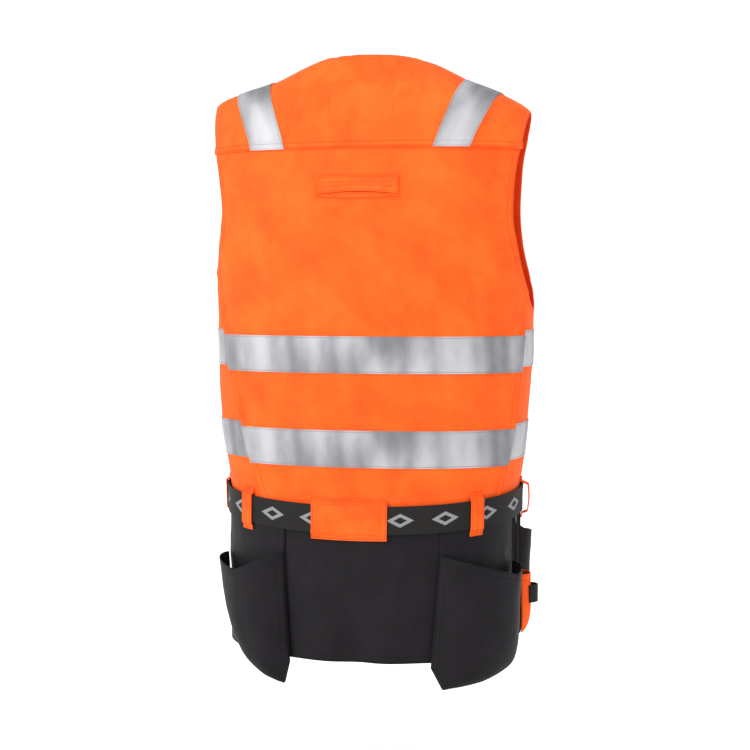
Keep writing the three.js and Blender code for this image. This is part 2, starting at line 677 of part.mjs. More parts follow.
for (const holster of HOLSTERS) {
  const { bagColumns, place } = holsterShape(holster);
  const boardSpot = (i, j) => {
    const across = (i * bagColumns) / 8;
    if (j <= 4) {
      const { angle, bottom, mouth } = place(across, j / 4);
      return { angle, level: mix(bottom, mouth, j / 4) };
    }
    const { angle, mouth } = place(across, 1);
    const waist = waistLevel(angle) - SEAM_GAP / 2;
    return { angle, level: mix(mouth, waist, (j - 4) / BOARD_ROWS) };
  };
  const boardOff = (i, j) => boardLift + hang(boardSpot(i, j).level);
  const board = clothOn(boardSpot, 8, 4 + BOARD_ROWS, boardOff, CLOTH);
  addPiece(`holster_board_${holster.name}`, board, charcoal);

  const bagSpot = (i, j) => {
    const { angle, bottom, mouth } = place(i, j / BAG_ROWS);
    return { angle, level: mix(bottom, mouth, (j / BAG_ROWS) ** 1.15) };
  };
  const bulge = (i, j) => {
    const { face, wrap, stand } = place(i, j / BAG_ROWS);
    const up = Math.min(1, j / BAG_ROWS / 0.42);
    const belly = Math.sqrt(1 - (1 - up) ** 2);
    const crown = HOLSTER_CROWN * Math.sin(Math.PI * face) * (1 - wrap);
    const out = stand * face ** 0.8 * Math.sqrt(1 - wrap * wrap) + crown;
    return bagLift + hang(bagSpot(i, j).level) + belly * out;
  };
  const bag = clothOn(bagSpot, bagColumns, BAG_ROWS, bulge, CLOTH);
  addPiece(`holster_bag_${holster.name}`, bag, charcoal);
}

// Small tool pockets beside the front holsters, each with a loop of webbing across it
for (const [column, side] of [['left', 1], ['right', -1]]) {
  const turn = (share) => radians(-TOOL_POCKET_TURN + (share - 0.5) * TOOL_POCKET_WIDTH_TURN);
  const onSide = (angle) => (side > 0 ? angle : Math.PI - angle);
  const backing = { columns: 4, rows: 5 };
  const top = -TOOL_POCKET_DROP;
  const backSpotOf = (i, j) => {
    const angle = onSide(turn(i / backing.columns));
    const low = top - TOOL_POCKET_HEIGHT;
    return { angle, level: mix(low, waistLevel(angle) - SEAM_GAP / 2, j / backing.rows) };
  };
  const back = clothOn(backSpotOf, backing.columns, backing.rows, boardLift, CLOTH);
  addPiece(`tool_backing_${column}`, back, charcoal);
  const columns = 8;
  const rows = 5;
  const spot = (i, j) => ({
    angle: onSide(turn(i / columns)),
    level: top - TOOL_POCKET_HEIGHT * (1 - j / rows),
  });
  const stand = (i, j) => {
    const round = Math.sin((Math.PI * i) / columns) ** 0.6;
    const belly = Math.sqrt(1 - (1 - Math.min(1, (j / rows) * 2)) ** 2);
    return bagLift + TOOL_POCKET_DEPTH * round * belly;
  };
  addPiece(`tool_pocket_${column}`, clothOn(spot, columns, rows, stand, CLOTH), orange);
  const loopSpot = (i, j) => ({
    angle: onSide(turn(mix(0.16, 0.84, i / columns))),
    level: -TOOL_LOOP_DROP - TOOL_LOOP_WIDTH * (1 - j),
  });
  const loopStand = (i) => {
    const share = mix(0.16, 0.84, i / columns);
    const round = Math.sin(Math.PI * share) ** 0.6;
    const off = Math.sin((Math.PI * i) / columns) ** 0.7;
    return bagLift + TOOL_POCKET_DEPTH * round + CLOTH + LAY_GAP + TOOL_LOOP_STAND * off;
  };
  addPiece(`tool_loop_${column}`, clothOn(loopSpot, columns, 1, loopStand, WEBBING), black);
}

// Belt, open where its two ends meet inside the buckle
const BELT_COLUMNS = 72;
const beltLift = boardLift + CLOTH + BELT_EASE;
const buckleHalf = 0.06;

function beltSpot(i, j) {
  const angle = mix(-Math.PI / 2 + buckleHalf, (3 * Math.PI) / 2 - buckleHalf, i / BELT_COLUMNS);
  return { angle, level: beltTop(angle) - BELT_WIDTH * (1 - j) };
}

addPiece('belt', clothOn(beltSpot, BELT_COLUMNS, 1, beltLift, WEBBING), black);

const frontMiddle = -Math.PI / 2;
const buckleSpot = (i, j) => ({
  angle: frontMiddle + ((i / 6 - 0.5) * BUCKLE_WIDTH) / sectionAt(-BELT_DROP).side,
  level: waistLevel(frontMiddle) + BUCKLE_HEIGHT * (j / 2 - 0.5),
});
const buckleLift = beltLift + WEBBING + LAY_GAP;
addPiece('belt_buckle', clothOn(buckleSpot, 6, 2, buckleLift, BUCKLE_THICK), plastic);

// Belt loops: strips stitched above and below the belt and standing over it. Each row's place
// counts from the belt's lower edge, and full tells which rows clear the belt.
const LOOP_FOOT = 1.4;

function strapOver(turn, width, over, stand, columns) {
  const clear = beltLift + WEBBING + LAY_GAP;
  const rows = [
    { up: -over, full: false },
    { up: -over * 0.5, full: false },
    { up: -LOOP_FOOT, full: true },
    { up: BELT_WIDTH * 0.25, full: true },
    { up: BELT_WIDTH * 0.5, full: true },
    { up: BELT_WIDTH * 0.75, full: true },
    { up: BELT_WIDTH + LOOP_FOOT, full: true },
    { up: BELT_WIDTH + over * 0.5, full: false },
    { up: BELT_WIDTH + over, full: false },
  ];
  const spot = (i, j) => {
    const angle = radians(turn) + ((i / columns - 0.5) * width) / (CHEST_HALF * 0.8);
    return { angle, level: beltTop(angle) - BELT_WIDTH + rows[j].up };
  };
  const lift = (i, j) => {
    const bow = Math.sin((Math.PI * j) / (rows.length - 1));
    const end = j < rows.length / 2 ? bagLift : CLOTH + LOOP_EASE;
    return rows[j].full ? clear + stand * bow : end;
  };
  return clothOn(spot, columns, rows.length - 1, lift, CLOTH);
}

for (const { name, turn, stand } of LOOPS) {
  addPiece(name, strapOver(turn, LOOP_WIDTH, LOOP_OVERHANG, SIDE_LOOP_STAND * stand, 2), orange);
}
const wideTurn = 90 - THREE.MathUtils.radToDeg(WIDE_LOOP_SHIFT / CHEST_HALF);
const wideOver = (WIDE_LOOP_HEIGHT - BELT_WIDTH) / 2;
addPiece('loop_centre', strapOver(wideTurn, WIDE_LOOP_WIDTH, wideOver, 0, 8), orange);

// Zip: its tape behind the two front edges, the chain between them, slider and pull
const zipTop = vNeckLevel - 2;
const zipBottom = waistLevel(frontMiddle) - BELT_WIDTH / 2 - FRONT_HEM_BELOW_BELT + 2;
const ZIP_ROWS = 10;

function zipStrip(half, top) {
  return (i, j) => {
    const level = mix(zipBottom, top, j / ZIP_ROWS);
    const angle = angleAt(half, level, -1);
    return { angle: i === 0 ? Math.PI - angle : angle + 2 * Math.PI, level };
  };
}

const zipTapeLift = -TAPE_THICK - 2 * LAY_GAP;
const zipTape = clothOn(zipStrip(ZIP_TAPE_HALF, zipTop), 1, ZIP_ROWS, zipTapeLift, TAPE_THICK);
addPiece('zip_tape', zipTape, black);
const chainLift = 0;
const chain = clothOn(zipStrip(ZIP_CHAIN_HALF, zipTop), 1, ZIP_ROWS, chainLift, ZIP_CHAIN_THICK);
addPiece('zip_chain', chain, plastic);

// The pull hangs from the slider, one plain piece with it
function sliderGeometry() {
  const profile = new THREE.Shape();
  const slider = 2.4;
  profile.moveTo(0, 0);
  profile.lineTo(slider, 0);
  profile.lineTo(slider, -ZIP_SLIDER_LENGTH * 0.5);
  profile.lineTo(slider + 1.2, -ZIP_SLIDER_LENGTH * 0.5);
  profile.lineTo(slider + 1.2, -ZIP_PULL_LENGTH);
  profile.lineTo(slider, -ZIP_PULL_LENGTH);
  profile.lineTo(slider, -ZIP_SLIDER_LENGTH);
  profile.lineTo(0, -ZIP_SLIDER_LENGTH);
  const width = 2 * ZIP_CHAIN_HALF + 1;
  const body = new THREE.ExtrudeGeometry(profile, { depth: width, bevelEnabled: false, steps: 1 });
  body.translate(0, 0, -width / 2);
  body.rotateX(Math.PI / 2);
  body.rotateZ(-Math.PI / 2);
  const level = zipTop - 6;
  const seat = offBody(frontMiddle, level, chainLift + ZIP_CHAIN_THICK + LAY_GAP);
  const down = offBody(frontMiddle, level - ZIP_PULL_LENGTH, chainLift + ZIP_CHAIN_THICK + LAY_GAP);
  body.rotateX(Math.atan2(down.y - seat.y, ZIP_PULL_LENGTH));
  body.translate(seat.x, seat.y, seat.z);
  return body;
}

addPiece('zip_slider', sliderGeometry(), plastic);

export default vest;
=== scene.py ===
import math

import bmesh
import bpy
import numpy as np
from mathutils import Matrix, Vector


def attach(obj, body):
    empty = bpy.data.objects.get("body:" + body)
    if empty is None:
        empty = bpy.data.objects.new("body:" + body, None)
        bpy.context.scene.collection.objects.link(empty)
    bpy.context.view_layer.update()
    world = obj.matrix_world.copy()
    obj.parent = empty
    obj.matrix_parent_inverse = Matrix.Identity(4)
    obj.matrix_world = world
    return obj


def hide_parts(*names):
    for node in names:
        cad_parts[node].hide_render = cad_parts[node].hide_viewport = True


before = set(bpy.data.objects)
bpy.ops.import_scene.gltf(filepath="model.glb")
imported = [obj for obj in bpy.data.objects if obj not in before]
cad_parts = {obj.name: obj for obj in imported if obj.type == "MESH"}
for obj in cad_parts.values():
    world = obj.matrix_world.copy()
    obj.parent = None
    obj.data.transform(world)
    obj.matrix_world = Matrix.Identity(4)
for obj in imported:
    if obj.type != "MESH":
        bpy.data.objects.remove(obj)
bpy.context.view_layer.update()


# Back panel: one piece of orange twill from the waist seam up to the yoke seam, cut in at the
# armholes. Everything else is sewn to it or to its neighbours, so the form that the wearer's body
# gives the cloth, its folds, and the way in which a piece is laid on that form are told here.
CLOTH = 0.0015
SEAM_GAP = 0.0004
SEAM_LAP = 0.003
LAP_RISE = 0.0018
LAP_REACH = 0.011
VEST_LENGTH = 0.814
CHEST_HALF = 0.236
BACK_DEPTH = 0.139
FRONT_DEPTH = 0.134
SHOULDER_HALF = 0.231
SHOULDER_LEAN = 0.009
SHOULDER_TUCK = 0.045
SHOULDER_TUCK_DROP = 0.21
ARMHOLE_DROP = 0.338
ARMHOLE_BACK_REACH = 0.066
ARMHOLE_FRONT_REACH = 0.076
ARMHOLE_SKEW = 1.3
ARMHOLE_ROUND = 0.55
YOKE_DROP = 0.117
BACK_UPPER_TAPE_DROP = 0.374
BACK_LOWER_TAPE_DROP = 0.501
TAPE_WIDTH = 0.05
BELT_WIDTH = 0.038
BELT_DROP = 0.603
BELT_SIDE_RISE = 0.014
BELT_FRONT_RISE = 0.007
EDGE_ROW = 0.0022
HEM_ROW = 0.0088
TWO_ROWS = (EDGE_ROW, HEM_ROW)
STITCH_PITCH = 0.003
STITCH_HALF_WIDE = 0.00032
STITCH_HALF_HIGH = 0.00028
SIDES = ("first", "last")
ALL_EDGES = ("low", "high", "first", "last")
SIDE_SEAM_TOP = {"left": 26, "right": 18}
SIDE_SEAM_WAIST = {"left": 55, "right": 31}

# Sections of the body: drop as a share of the length, side, back and front as shares of the
# chest's half and the two depths, and how far the oval is squared.
SECTIONS = np.array([
    (-0.0123, 0.297, 0.489, 0.336, 0),
    (0, 0.415, 0.547, 0.463, 0),
    (0.0135, 0.517, 0.576, 0.52, 0),
    (0.0264, 0.614, 0.604, 0.56, 0.005),
    (0.0455, 0.809, 0.647, 0.6, 0.012),
    (0.0627, 0.941, 0.676, 0.63, 0.02),
    (0.0725, 0.979, 0.691, 0.65, 0.025),
    (0.1032, 0.988, 0.727, 0.725, 0.045),
    (0.1437, 0.988, 0.763, 0.806, 0.055),
    (0.2027, 0.99, 0.813, 0.896, 0.06),
    (0.307, 0.985, 0.892, 0.985, 0.062),
    (0.415, 0.957, 0.935, 1, 0.062),
    (0.521, 0.945, 0.96, 0.985, 0.06),
    (0.614, 0.92, 0.978, 0.955, 0.06),
    (0.688, 0.894, 0.99, 0.95, 0.06),
    (0.737, 0.873, 1, 0.955, 0.06),
    (0.86, 0.869, 1.05, 1, 0.065),
    (1, 0.873, 1.08, 1.03, 0.07),
    (1.06, 0.875, 1.09, 1.04, 0.07),
])

# Broad folds: turn in degrees from the wearer's left, lean, drop, tall, wide and rise.
FOLD_RISE = 0.005
FOLDS = [
    (38, 10, 0.33, 0.1, 7, 0.3),
    (52, 14, 0.36, 0.12, 8, -0.55),
    (132, -12, 0.34, 0.12, 8, -0.6),
    (146, -8, 0.32, 0.1, 6, 0.4),
    (72, 6, 0.56, 0.09, 9, 0.5),
    (108, -7, 0.57, 0.1, 9, -0.5),
    (20, 6, 0.6, 0.09, 9, 0.6),
    (160, -6, 0.6, 0.09, 9, 0.7),
    (78, 3, 0.96, 0.1, 9, 0.9),
    (92, 0, 0.97, 0.1, 7, -0.9),
    (104, -3, 0.96, 0.1, 8, 0.8),
    (-60, -8, 0.35, 0.12, 9, 0.6),
    (240, 8, 0.35, 0.12, 9, 0.6),
]

# Narrow creases, each from one turn and level to another, with its width and rise.
CREASES = [
    (34, -0.262, 56, -0.208, 0.009, 0.0016),
    (33, -0.235, 52, -0.19, 0.008, -0.0012),
    (36, -0.285, 62, -0.24, 0.01, -0.0012),
    (36, -0.205, 50, -0.172, 0.007, 0.0011),
    (30, -0.31, 52, -0.325, 0.009, 0.0012),
    (148, -0.25, 128, -0.2, 0.009, 0.0014),
    (150, -0.275, 124, -0.235, 0.01, -0.0011),
    (146, -0.225, 132, -0.18, 0.007, -0.001),
    (152, -0.315, 132, -0.33, 0.009, 0.0011),
    (64, -0.2, 66, -0.3, 0.012, 0.0007),
    (82, -0.215, 80, -0.33, 0.014, 0.0008),
    (101, -0.21, 104, -0.32, 0.013, 0.0007),
    (118, -0.17, 116, -0.29, 0.012, -0.0006),
    (100, -0.574, 116, -0.562, 0.005, 0.0011),
    (104, -0.586, 126, -0.576, 0.004, -0.0008),
    (58, -0.572, 74, -0.58, 0.005, 0.0009),
    (128, -0.566, 142, -0.556, 0.005, 0.001),
    (46, -0.566, 56, -0.556, 0.005, -0.0008),
    (66, -0.672, 72, -0.78, 0.008, 0.001),
    (112, -0.665, 107, -0.76, 0.008, 0.0012),
    (84, -0.66, 86, -0.8, 0.01, -0.0009),
    (96, -0.655, 98, -0.8, 0.009, 0.0009),
]


def mix(start, end, share):
    return start + (end - start) * share


def smooth_step(at, low, high):
    share = np.clip((at - low) / (high - low), 0, 1)
    return share * share * (3 - 2 * share)


def read_table(rows, column, at):
    """A smooth curve through one column of a table that never swings past its rows."""
    keys = rows[:, 0]
    values = rows[:, column]
    steps = np.diff(values) / np.diff(keys)
    turning = steps[:-1] * steps[1:] <= 0
    level_sum = np.where(turning, 1, steps[:-1] + steps[1:])
    inner = np.where(turning, 0, 2 * steps[:-1] * steps[1:] / level_sum)
    slopes = np.concatenate([steps[:1], inner, steps[-1:]])
    last = np.clip(np.searchsorted(keys, at, side="right") - 1, 0, len(keys) - 2)
    span = keys[last + 1] - keys[last]
    share = np.clip((at - keys[last]) / span, 0, 1)
    lead = share * (1 - share) ** 2 * span * slopes[last]
    tail = share * share * (share - 1) * span * slopes[last + 1]
    rise = share * share * (3 - 2 * share)
    return mix(values[last], values[last + 1], rise) + lead + tail


def section_at(level):
    """Side, back and front reach of the body at a level, and its squareness."""
    drop = -np.asarray(level, float) / VEST_LENGTH
    side = CHEST_HALF * read_table(SECTIONS, 1, drop)
    back = BACK_DEPTH * read_table(SECTIONS, 2, drop)
    front = FRONT_DEPTH * read_table(SECTIONS, 3, drop)
    return side, back, front, read_table(SECTIONS, 4, drop)


def body_point(angle, level):
    """The right shoulder hangs a little lower and further in than the left one."""
    side, back, front, square = section_at(level)
    corner = 1 + square * np.sin(2 * angle) ** 2
    depth = np.where(np.sin(angle) >= 0, back, front)
    across = side * corner * np.cos(angle)
    tuck = smooth_step(level, -SHOULDER_TUCK_DROP, -YOKE_DROP)
    lean = smooth_step(level, -YOKE_DROP, -0.4 * YOKE_DROP)
    x = np.where(across < 0, across * (1 - SHOULDER_TUCK * tuck), across)
    y = depth * corner * np.sin(angle)
    z = level + SHOULDER_LEAN * lean * (across / CHEST_HALF) ** 3
    return np.stack(np.broadcast_arrays(x, y, z), axis=-1)


def body_normal(angle, level):
    turn = math.radians(0.5)
    across = body_point(angle + turn, level) - body_point(angle - turn, level)
    up = body_point(angle, level + 0.0005) - body_point(angle, level - 0.0005)
    normal = np.cross(across, up)
    return normal / np.linalg.norm(normal, axis=-1, keepdims=True)


RIPPLE_KNOTS = np.random.default_rng(11).random((64, 64))


def ripple(x, z, size):
    """Soft hills about this size, from -1 to 1, the same in each run."""
    across = x / size + 31.4
    down = z / size + 47.9
    column = np.floor(across).astype(int)
    row = np.floor(down).astype(int)
    a = smooth_step(across - column, 0, 1)
    b = smooth_step(down - row, 0, 1)
    knot = lambda c, r: RIPPLE_KNOTS[(column + c) % 64, (row + r) % 64]
    low = mix(knot(0, 0), knot(1, 0), a)
    high = mix(knot(0, 1), knot(1, 1), a)
    return 2 * mix(low, high, b) - 1


def fold_rise(angle, level):
    """How far folds, creases and ripples lift the cloth off the body."""
    rise = 0
    for turn, lean, drop, tall, wide, height in FOLDS:
        along = (-level / VEST_LENGTH - drop) / tall
        across = (np.degrees(angle) - turn - lean * along) / wide
        rise = rise + height * np.exp(-along * along - across * across)
    from_belt = np.abs(-level - BELT_DROP - BELT_WIDTH / 2)
    broad = FOLD_RISE * rise * smooth_step(from_belt, BELT_WIDTH, 2.6 * BELT_WIDTH)
    x = np.asarray(angle) * CHEST_HALF * 0.85
    fine = 0.0007 * ripple(x + 0.3 * level, level, 0.034) + 0.0003 * ripple(x, level, 0.013)
    for turn, high, end_turn, end, wide, height in CREASES:
        start = np.array([math.radians(turn) * CHEST_HALF * 0.85, high])
        run = np.array([math.radians(end_turn) * CHEST_HALF * 0.85, end]) - start
        reach = np.linalg.norm(run)
        off_x = x - start[0]
        off_z = level - start[1]
        along = (off_x * run[0] + off_z * run[1]) / reach ** 2
        across = (off_x * run[1] - off_z * run[0]) / reach
        bow = 0.12 * reach * np.sin(np.pi * np.clip(along, 0, 1))
        fade = smooth_step(along, -0.25, 0.3) * (1 - smooth_step(along, 0.7, 1.25))
        fine = fine + height * fade * np.exp(-(((across - bow) / wide) ** 2))
    near_belt = smooth_step(from_belt, 0.6 * BELT_WIDTH, BELT_WIDTH)
    return broad + fine * (0.15 + 0.85 * near_belt)


def off_body(angle, level, lift):
    """A point held off the body by the lift and by the cloth's folds."""
    rise = np.asarray(lift + fold_rise(angle, level))
    return body_point(angle, level) + body_normal(angle, level) * rise[..., None]


def angle_at(across, level, half):
    """The turn round the body where a distance from the middle is met at a level."""
    side, back, front, square = section_at(level)
    across = across + 0 * side
    low = np.zeros_like(across)
    high = low + np.pi / 2
    for _ in range(40):
        middle = (low + high) / 2
        reach = side * (1 + square * np.sin(2 * middle) ** 2) * np.cos(middle)
        low = np.where(reach > across, middle, low)
        high = np.where(reach > across, high, middle)
    depth = back if half > 0 else front
    return half * np.maximum(low, np.arcsin(SEAM_GAP / 2 / depth))


def ridge_level(across):
    """The level of the shoulder's crest at a distance from the middle."""
    low = 0 * np.asarray(across, float) - VEST_LENGTH * 0.09
    high = 0 * low
    for _ in range(40):
        middle = (low + high) / 2
        wide = section_at(middle)[0] > across
        low = np.where(wide, middle, low)
        high = np.where(wide, high, middle)
    return low


shoulder_level = float(ridge_level(SHOULDER_HALF))


def armhole_angle(level, half):
    reach = ARMHOLE_BACK_REACH if half > 0 else ARMHOLE_FRONT_REACH
    share = np.clip((shoulder_level - level) / (shoulder_level + ARMHOLE_DROP), 0, 1)
    edge = reach * np.clip(np.sin(np.pi * share ** ARMHOLE_SKEW), 0, 1) ** ARMHOLE_ROUND
    depth = section_at(level)[1 if half > 0 else 2]
    return half * np.arcsin(edge / depth)


def armhole_level(angle):
    """The low stretch of the armhole's edge, read the other way."""
    angle = np.asarray(angle, float)
    low = 0 * angle - ARMHOLE_DROP
    high = 0 * angle + mix(-ARMHOLE_DROP, shoulder_level, 0.4)
    for _ in range(40):
        middle = (low + high) / 2
        edge = np.where(angle < 0, armhole_angle(middle, -1), armhole_angle(middle, 1))
        inside = np.abs(edge) < np.abs(angle)
        low = np.where(inside, middle, low)
        high = np.where(inside, high, middle)
    return low


def seam_top_level(column):
    return float(armhole_level(math.radians(SIDE_SEAM_TOP[column])))


def seam_angle(level, column):
    top = seam_top_level(column)
    share = (top - level) / (top + BELT_DROP + BELT_WIDTH / 2)
    return np.radians(mix(SIDE_SEAM_TOP[column], SIDE_SEAM_WAIST[column], share))


def belt_top(angle):
    turned = (1 - np.sin(angle)) / 2
    side = BELT_SIDE_RISE * np.sin(np.pi * np.minimum(turned, 0.5))
    return -BELT_DROP + side + BELT_FRONT_RISE * turned


def waist_level(angle):
    return belt_top(angle) - BELT_WIDTH / 2


def along_stops(values, steps, index):
    """Spreads steps between named stops: steps[k] of them lead from values[k] to the next."""
    total = values[0] + 0 * index
    done = 0
    for k, step in enumerate(steps):
        total = total + (values[k + 1] - values[k]) * np.clip((index - done) / step, 0, 1)
        done += step
    return total


class Cloth:
    """A wall of cloth: spot(i, j) gives turn and level, lift(i, j) how far its inner face is off."""

    def __init__(self, spot, lift, across, up, thick=CLOTH):
        self.spot = spot
        self.lift = lift if callable(lift) else lambda i, j: lift + 0 * i * j
        self.across = across
        self.up = up
        self.thick = thick

    def point(self, i, j, proud=0):
        angle, level = self.spot(i, j)
        return off_body(angle, level, self.lift(i, j) + self.thick + proud)

    def normal(self, i, j):
        """The way that the outer face looks, from its own slopes."""
        wide = (self.across[-1] - self.across[0]) * 0.002
        tall = (self.up[-1] - self.up[0]) * 0.002
        left = np.clip(i - wide, self.across[0], self.across[-1])
        right = np.clip(i + wide, self.across[0], self.across[-1])
        low = np.clip(j - tall, self.up[0], self.up[-1])
        high = np.clip(j + tall, self.up[0], self.up[-1])
        out = np.cross(
            self.point(right, j) - self.point(left, j), self.point(i, high) - self.point(i, low)
        )
        out = out / np.maximum(np.linalg.norm(out, axis=-1, keepdims=True), 1e-12)
        angle, level = self.spot(i, j)
        side = np.sign(np.sum(out * body_normal(angle, level)))
        return out * side

    def row(self, i, j, way, inset):
        """A row on the cloth this far to one side of the spots i, j, with the normals there."""
        i = i + 0.0 * j
        j = j + 0.0 * i
        wide = way[0] * (self.across[-1] - self.across[0]) * 0.01
        tall = way[1] * (self.up[-1] - self.up[0]) * 0.01
        reach = np.linalg.norm(self.point(i + wide, j + tall) - self.point(i, j), axis=-1)
        share = inset / np.maximum(reach, 1e-6)
        i = i + wide * share
        j = j + tall * share
        return self.point(i, j), self.normal(i, j)

    def line(self, edge, inset, start=0.0, end=1.0, count=300):
        """A row along one of the four edges, or along a share of it."""
        share = np.linspace(start, end, count)
        if edge in ("low", "high"):
            at = self.up[0] if edge == "low" else self.up[-1]
            way = (0, 1) if edge == "low" else (0, -1)
            return self.row(mix(self.across[0], self.across[-1], share), at + 0 * share, way, inset)
        at = self.across[0] if edge == "first" else self.across[-1]
        way = (1, 0) if edge == "first" else (-1, 0)
        return self.row(at + 0 * share, mix(self.up[0], self.up[-1], share), way, inset)


def polyline_distance(points, line):
    """How far each point is from a line of points."""
    nearest = np.full(len(points), 1e9)
    start = line[:-1]
    run = line[1:] - start
    reach = np.maximum(np.sum(run * run, axis=-1), 1e-12)
    for begin, way, length in zip(start, run, reach):
        share = np.clip((points - begin) @ way / length, 0, 1)
        away = points - begin - share[:, None] * way
        nearest = np.minimum(nearest, np.einsum("ij,ij->i", away, away))
    return np.sqrt(nearest)


def make_piece(name, bm, material, nodes):
    """Turns a bmesh into a finished piece of the vest."""
    mesh = bpy.data.meshes.new(name)
    bm.to_mesh(mesh)
    bm.free()
    mesh.shade_smooth()
    mesh.materials.append(material)
    piece = bpy.data.objects.new(name, mesh)
    bpy.context.collection.objects.link(piece)
    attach(piece, "root")
    if nodes:
        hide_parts(*nodes)
    return piece


def lay_cloth(name, cloth, material, nodes, hems=(), keep=None, crisp=False):
    """Lays a grid over the cloth's spots, tells the material how far hemmed edges are, and
    gives it its thickness inwards. The sheet's flat size is measured along the cloth."""
    columns = len(cloth.across) - 1
    rows = len(cloth.up) - 1
    i, j = np.meshgrid(cloth.across, cloth.up)
    points = cloth.point(i, j)
    u = np.zeros_like(i)
    v = np.zeros_like(i)
    u[:, 1:] = np.cumsum(np.linalg.norm(np.diff(points, axis=1), axis=-1), axis=1)
    u -= u[:, columns // 2][:, None]
    v[1:, :] = np.cumsum(np.linalg.norm(np.diff(points, axis=0), axis=-1), axis=0)
    v -= v[rows // 2, :][None, :]
    flat_points = points.reshape(-1, 3)
    edges = {"low": points[0], "high": points[-1], "first": points[:, 0], "last": points[:, -1]}
    hem = np.full(len(flat_points), 0.1)
    for edge in hems:
        line = edges[edge] if isinstance(edge, str) else edge
        hem = np.minimum(hem, polyline_distance(flat_points, line[:: max(1, len(line) // 90)]))
    bm = bmesh.new()
    bmesh.ops.create_grid(bm, x_segments=columns, y_segments=rows, size=1)
    bm.verts.ensure_lookup_table()
    hem_layer = bm.verts.layers.float.new("hem")
    uv_layer = bm.loops.layers.uv.new("cloth")
    place = {}
    for vert in bm.verts:
        column = round((vert.co.x + 1) / 2 * columns)
        row = round((vert.co.y + 1) / 2 * rows)
        place[vert] = (row, column)
        vert.co = points[row, column]
        vert[hem_layer] = hem[row * (columns + 1) + column]
    extra = []
    for face in bm.faces:
        corners = [place[loop.vert] for loop in face.loops]
        for loop, (row, column) in zip(face.loops, corners):
            loop[uv_layer].uv = (u[row, column], v[row, column])
        middle_i = sum(cloth.across[column] for row, column in corners) / 4
        middle_j = sum(cloth.up[row] for row, column in corners) / 4
        if keep and not keep(middle_i, middle_j):
            extra.append(face)
    bmesh.ops.delete(bm, geom=extra, context="FACES")
    bm.normal_update()
    outward = sum(f.normal.dot(Vector((f.calc_center_median().x, f.calc_center_median().y, 0)))
                  for f in bm.faces)
    if outward < 0:
        bmesh.ops.reverse_faces(bm, faces=bm.faces[:])
    if crisp:
        for edge in bm.edges:
            if edge.is_boundary:
                edge.smooth = False
    area = sum(face.calc_area() for face in bm.faces)
    piece = make_piece(name, bm, material, nodes)
    wall = piece.modifiers.new("thickness", "SOLIDIFY")
    wall.thickness = cloth.thick
    wall.offset = -1
    return piece


def body_line(angle, level):
    """A row of points on one layer of cloth over the body, with the normals there."""
    return off_body(angle, level, CLOTH), body_normal(angle, level)


def sew(name, rows, material, pitch=STITCH_PITCH):
    """Rows of stitches: each is a grain of thread lying along its row, half sunk in the cloth."""

    def read(table, where, run):
        return np.stack([np.interp(where, run, column) for column in table.T], axis=-1)

    whole = bmesh.new()
    for points, normals in rows:
        run = np.concatenate([[0], np.cumsum(np.linalg.norm(np.diff(points, axis=0), axis=-1))])
        count = max(1, round(run[-1] / pitch))
        at = (np.arange(count) + 0.5) * run[-1] / count
        place = read(points, at, run)
        ahead = read(points, at + 0.001, run) - read(points, at - 0.001, run)
        out = read(normals, at, run)
        side = np.cross(out, ahead)
        short = bmesh.new()
        for k in range(count):
            axes = [ahead[k], side[k], out[k]]
            halves = [pitch * 0.4, STITCH_HALF_WIDE, STITCH_HALF_HIGH]
            columns = [Vector(axis).normalized() * half for axis, half in zip(axes, halves)]
            lie = Matrix(columns).transposed().to_4x4()
            lie.translation = Vector(place[k])
            bmesh.ops.create_icosphere(short, subdivisions=1, radius=1, matrix=lie)
        mesh = bpy.data.meshes.new(name)
        short.to_mesh(mesh)
        short.free()
        whole.from_mesh(mesh)
        bpy.data.meshes.remove(mesh)
    return make_piece(name, whole, material, None)


class Wire:
    """A shader socket that is written like a number."""

    def __init__(self, finish, socket):
        self.finish = finish
        self.socket = socket

    def maths(self, operation, first, second=None):
        values = [first] if second is None else [first, second]
        return self.finish.node("ShaderNodeMath", {"operation": operation}, values)

    def __add__(self, other):
        return self.maths("ADD", self, other)

    def __radd__(self, other):
        return self.maths("ADD", other, self)

    def __sub__(self, other):
        return self.maths("SUBTRACT", self, other)

    def __rsub__(self, other):
        return self.maths("SUBTRACT", other, self)

    def __mul__(self, other):
        return self.maths("MULTIPLY", self, other)

    def __rmul__(self, other):
        return self.maths("MULTIPLY", other, self)

    def __truediv__(self, other):
        return self.maths("DIVIDE", self, other)

    def sine(self):
        return self.maths("SINE", self)

    def size(self):
        return self.maths("ABSOLUTE", self)

    def wrapped(self, pitch):
        return self.maths("PINGPONG", self, pitch)

    def clipped(self, low, high):
        settings = {"interpolation_type": "SMOOTHSTEP"}
        sockets = {"Value": self, "From Min": low, "From Max": high}
        return self.finish.node("ShaderNodeMapRange", settings, sockets)


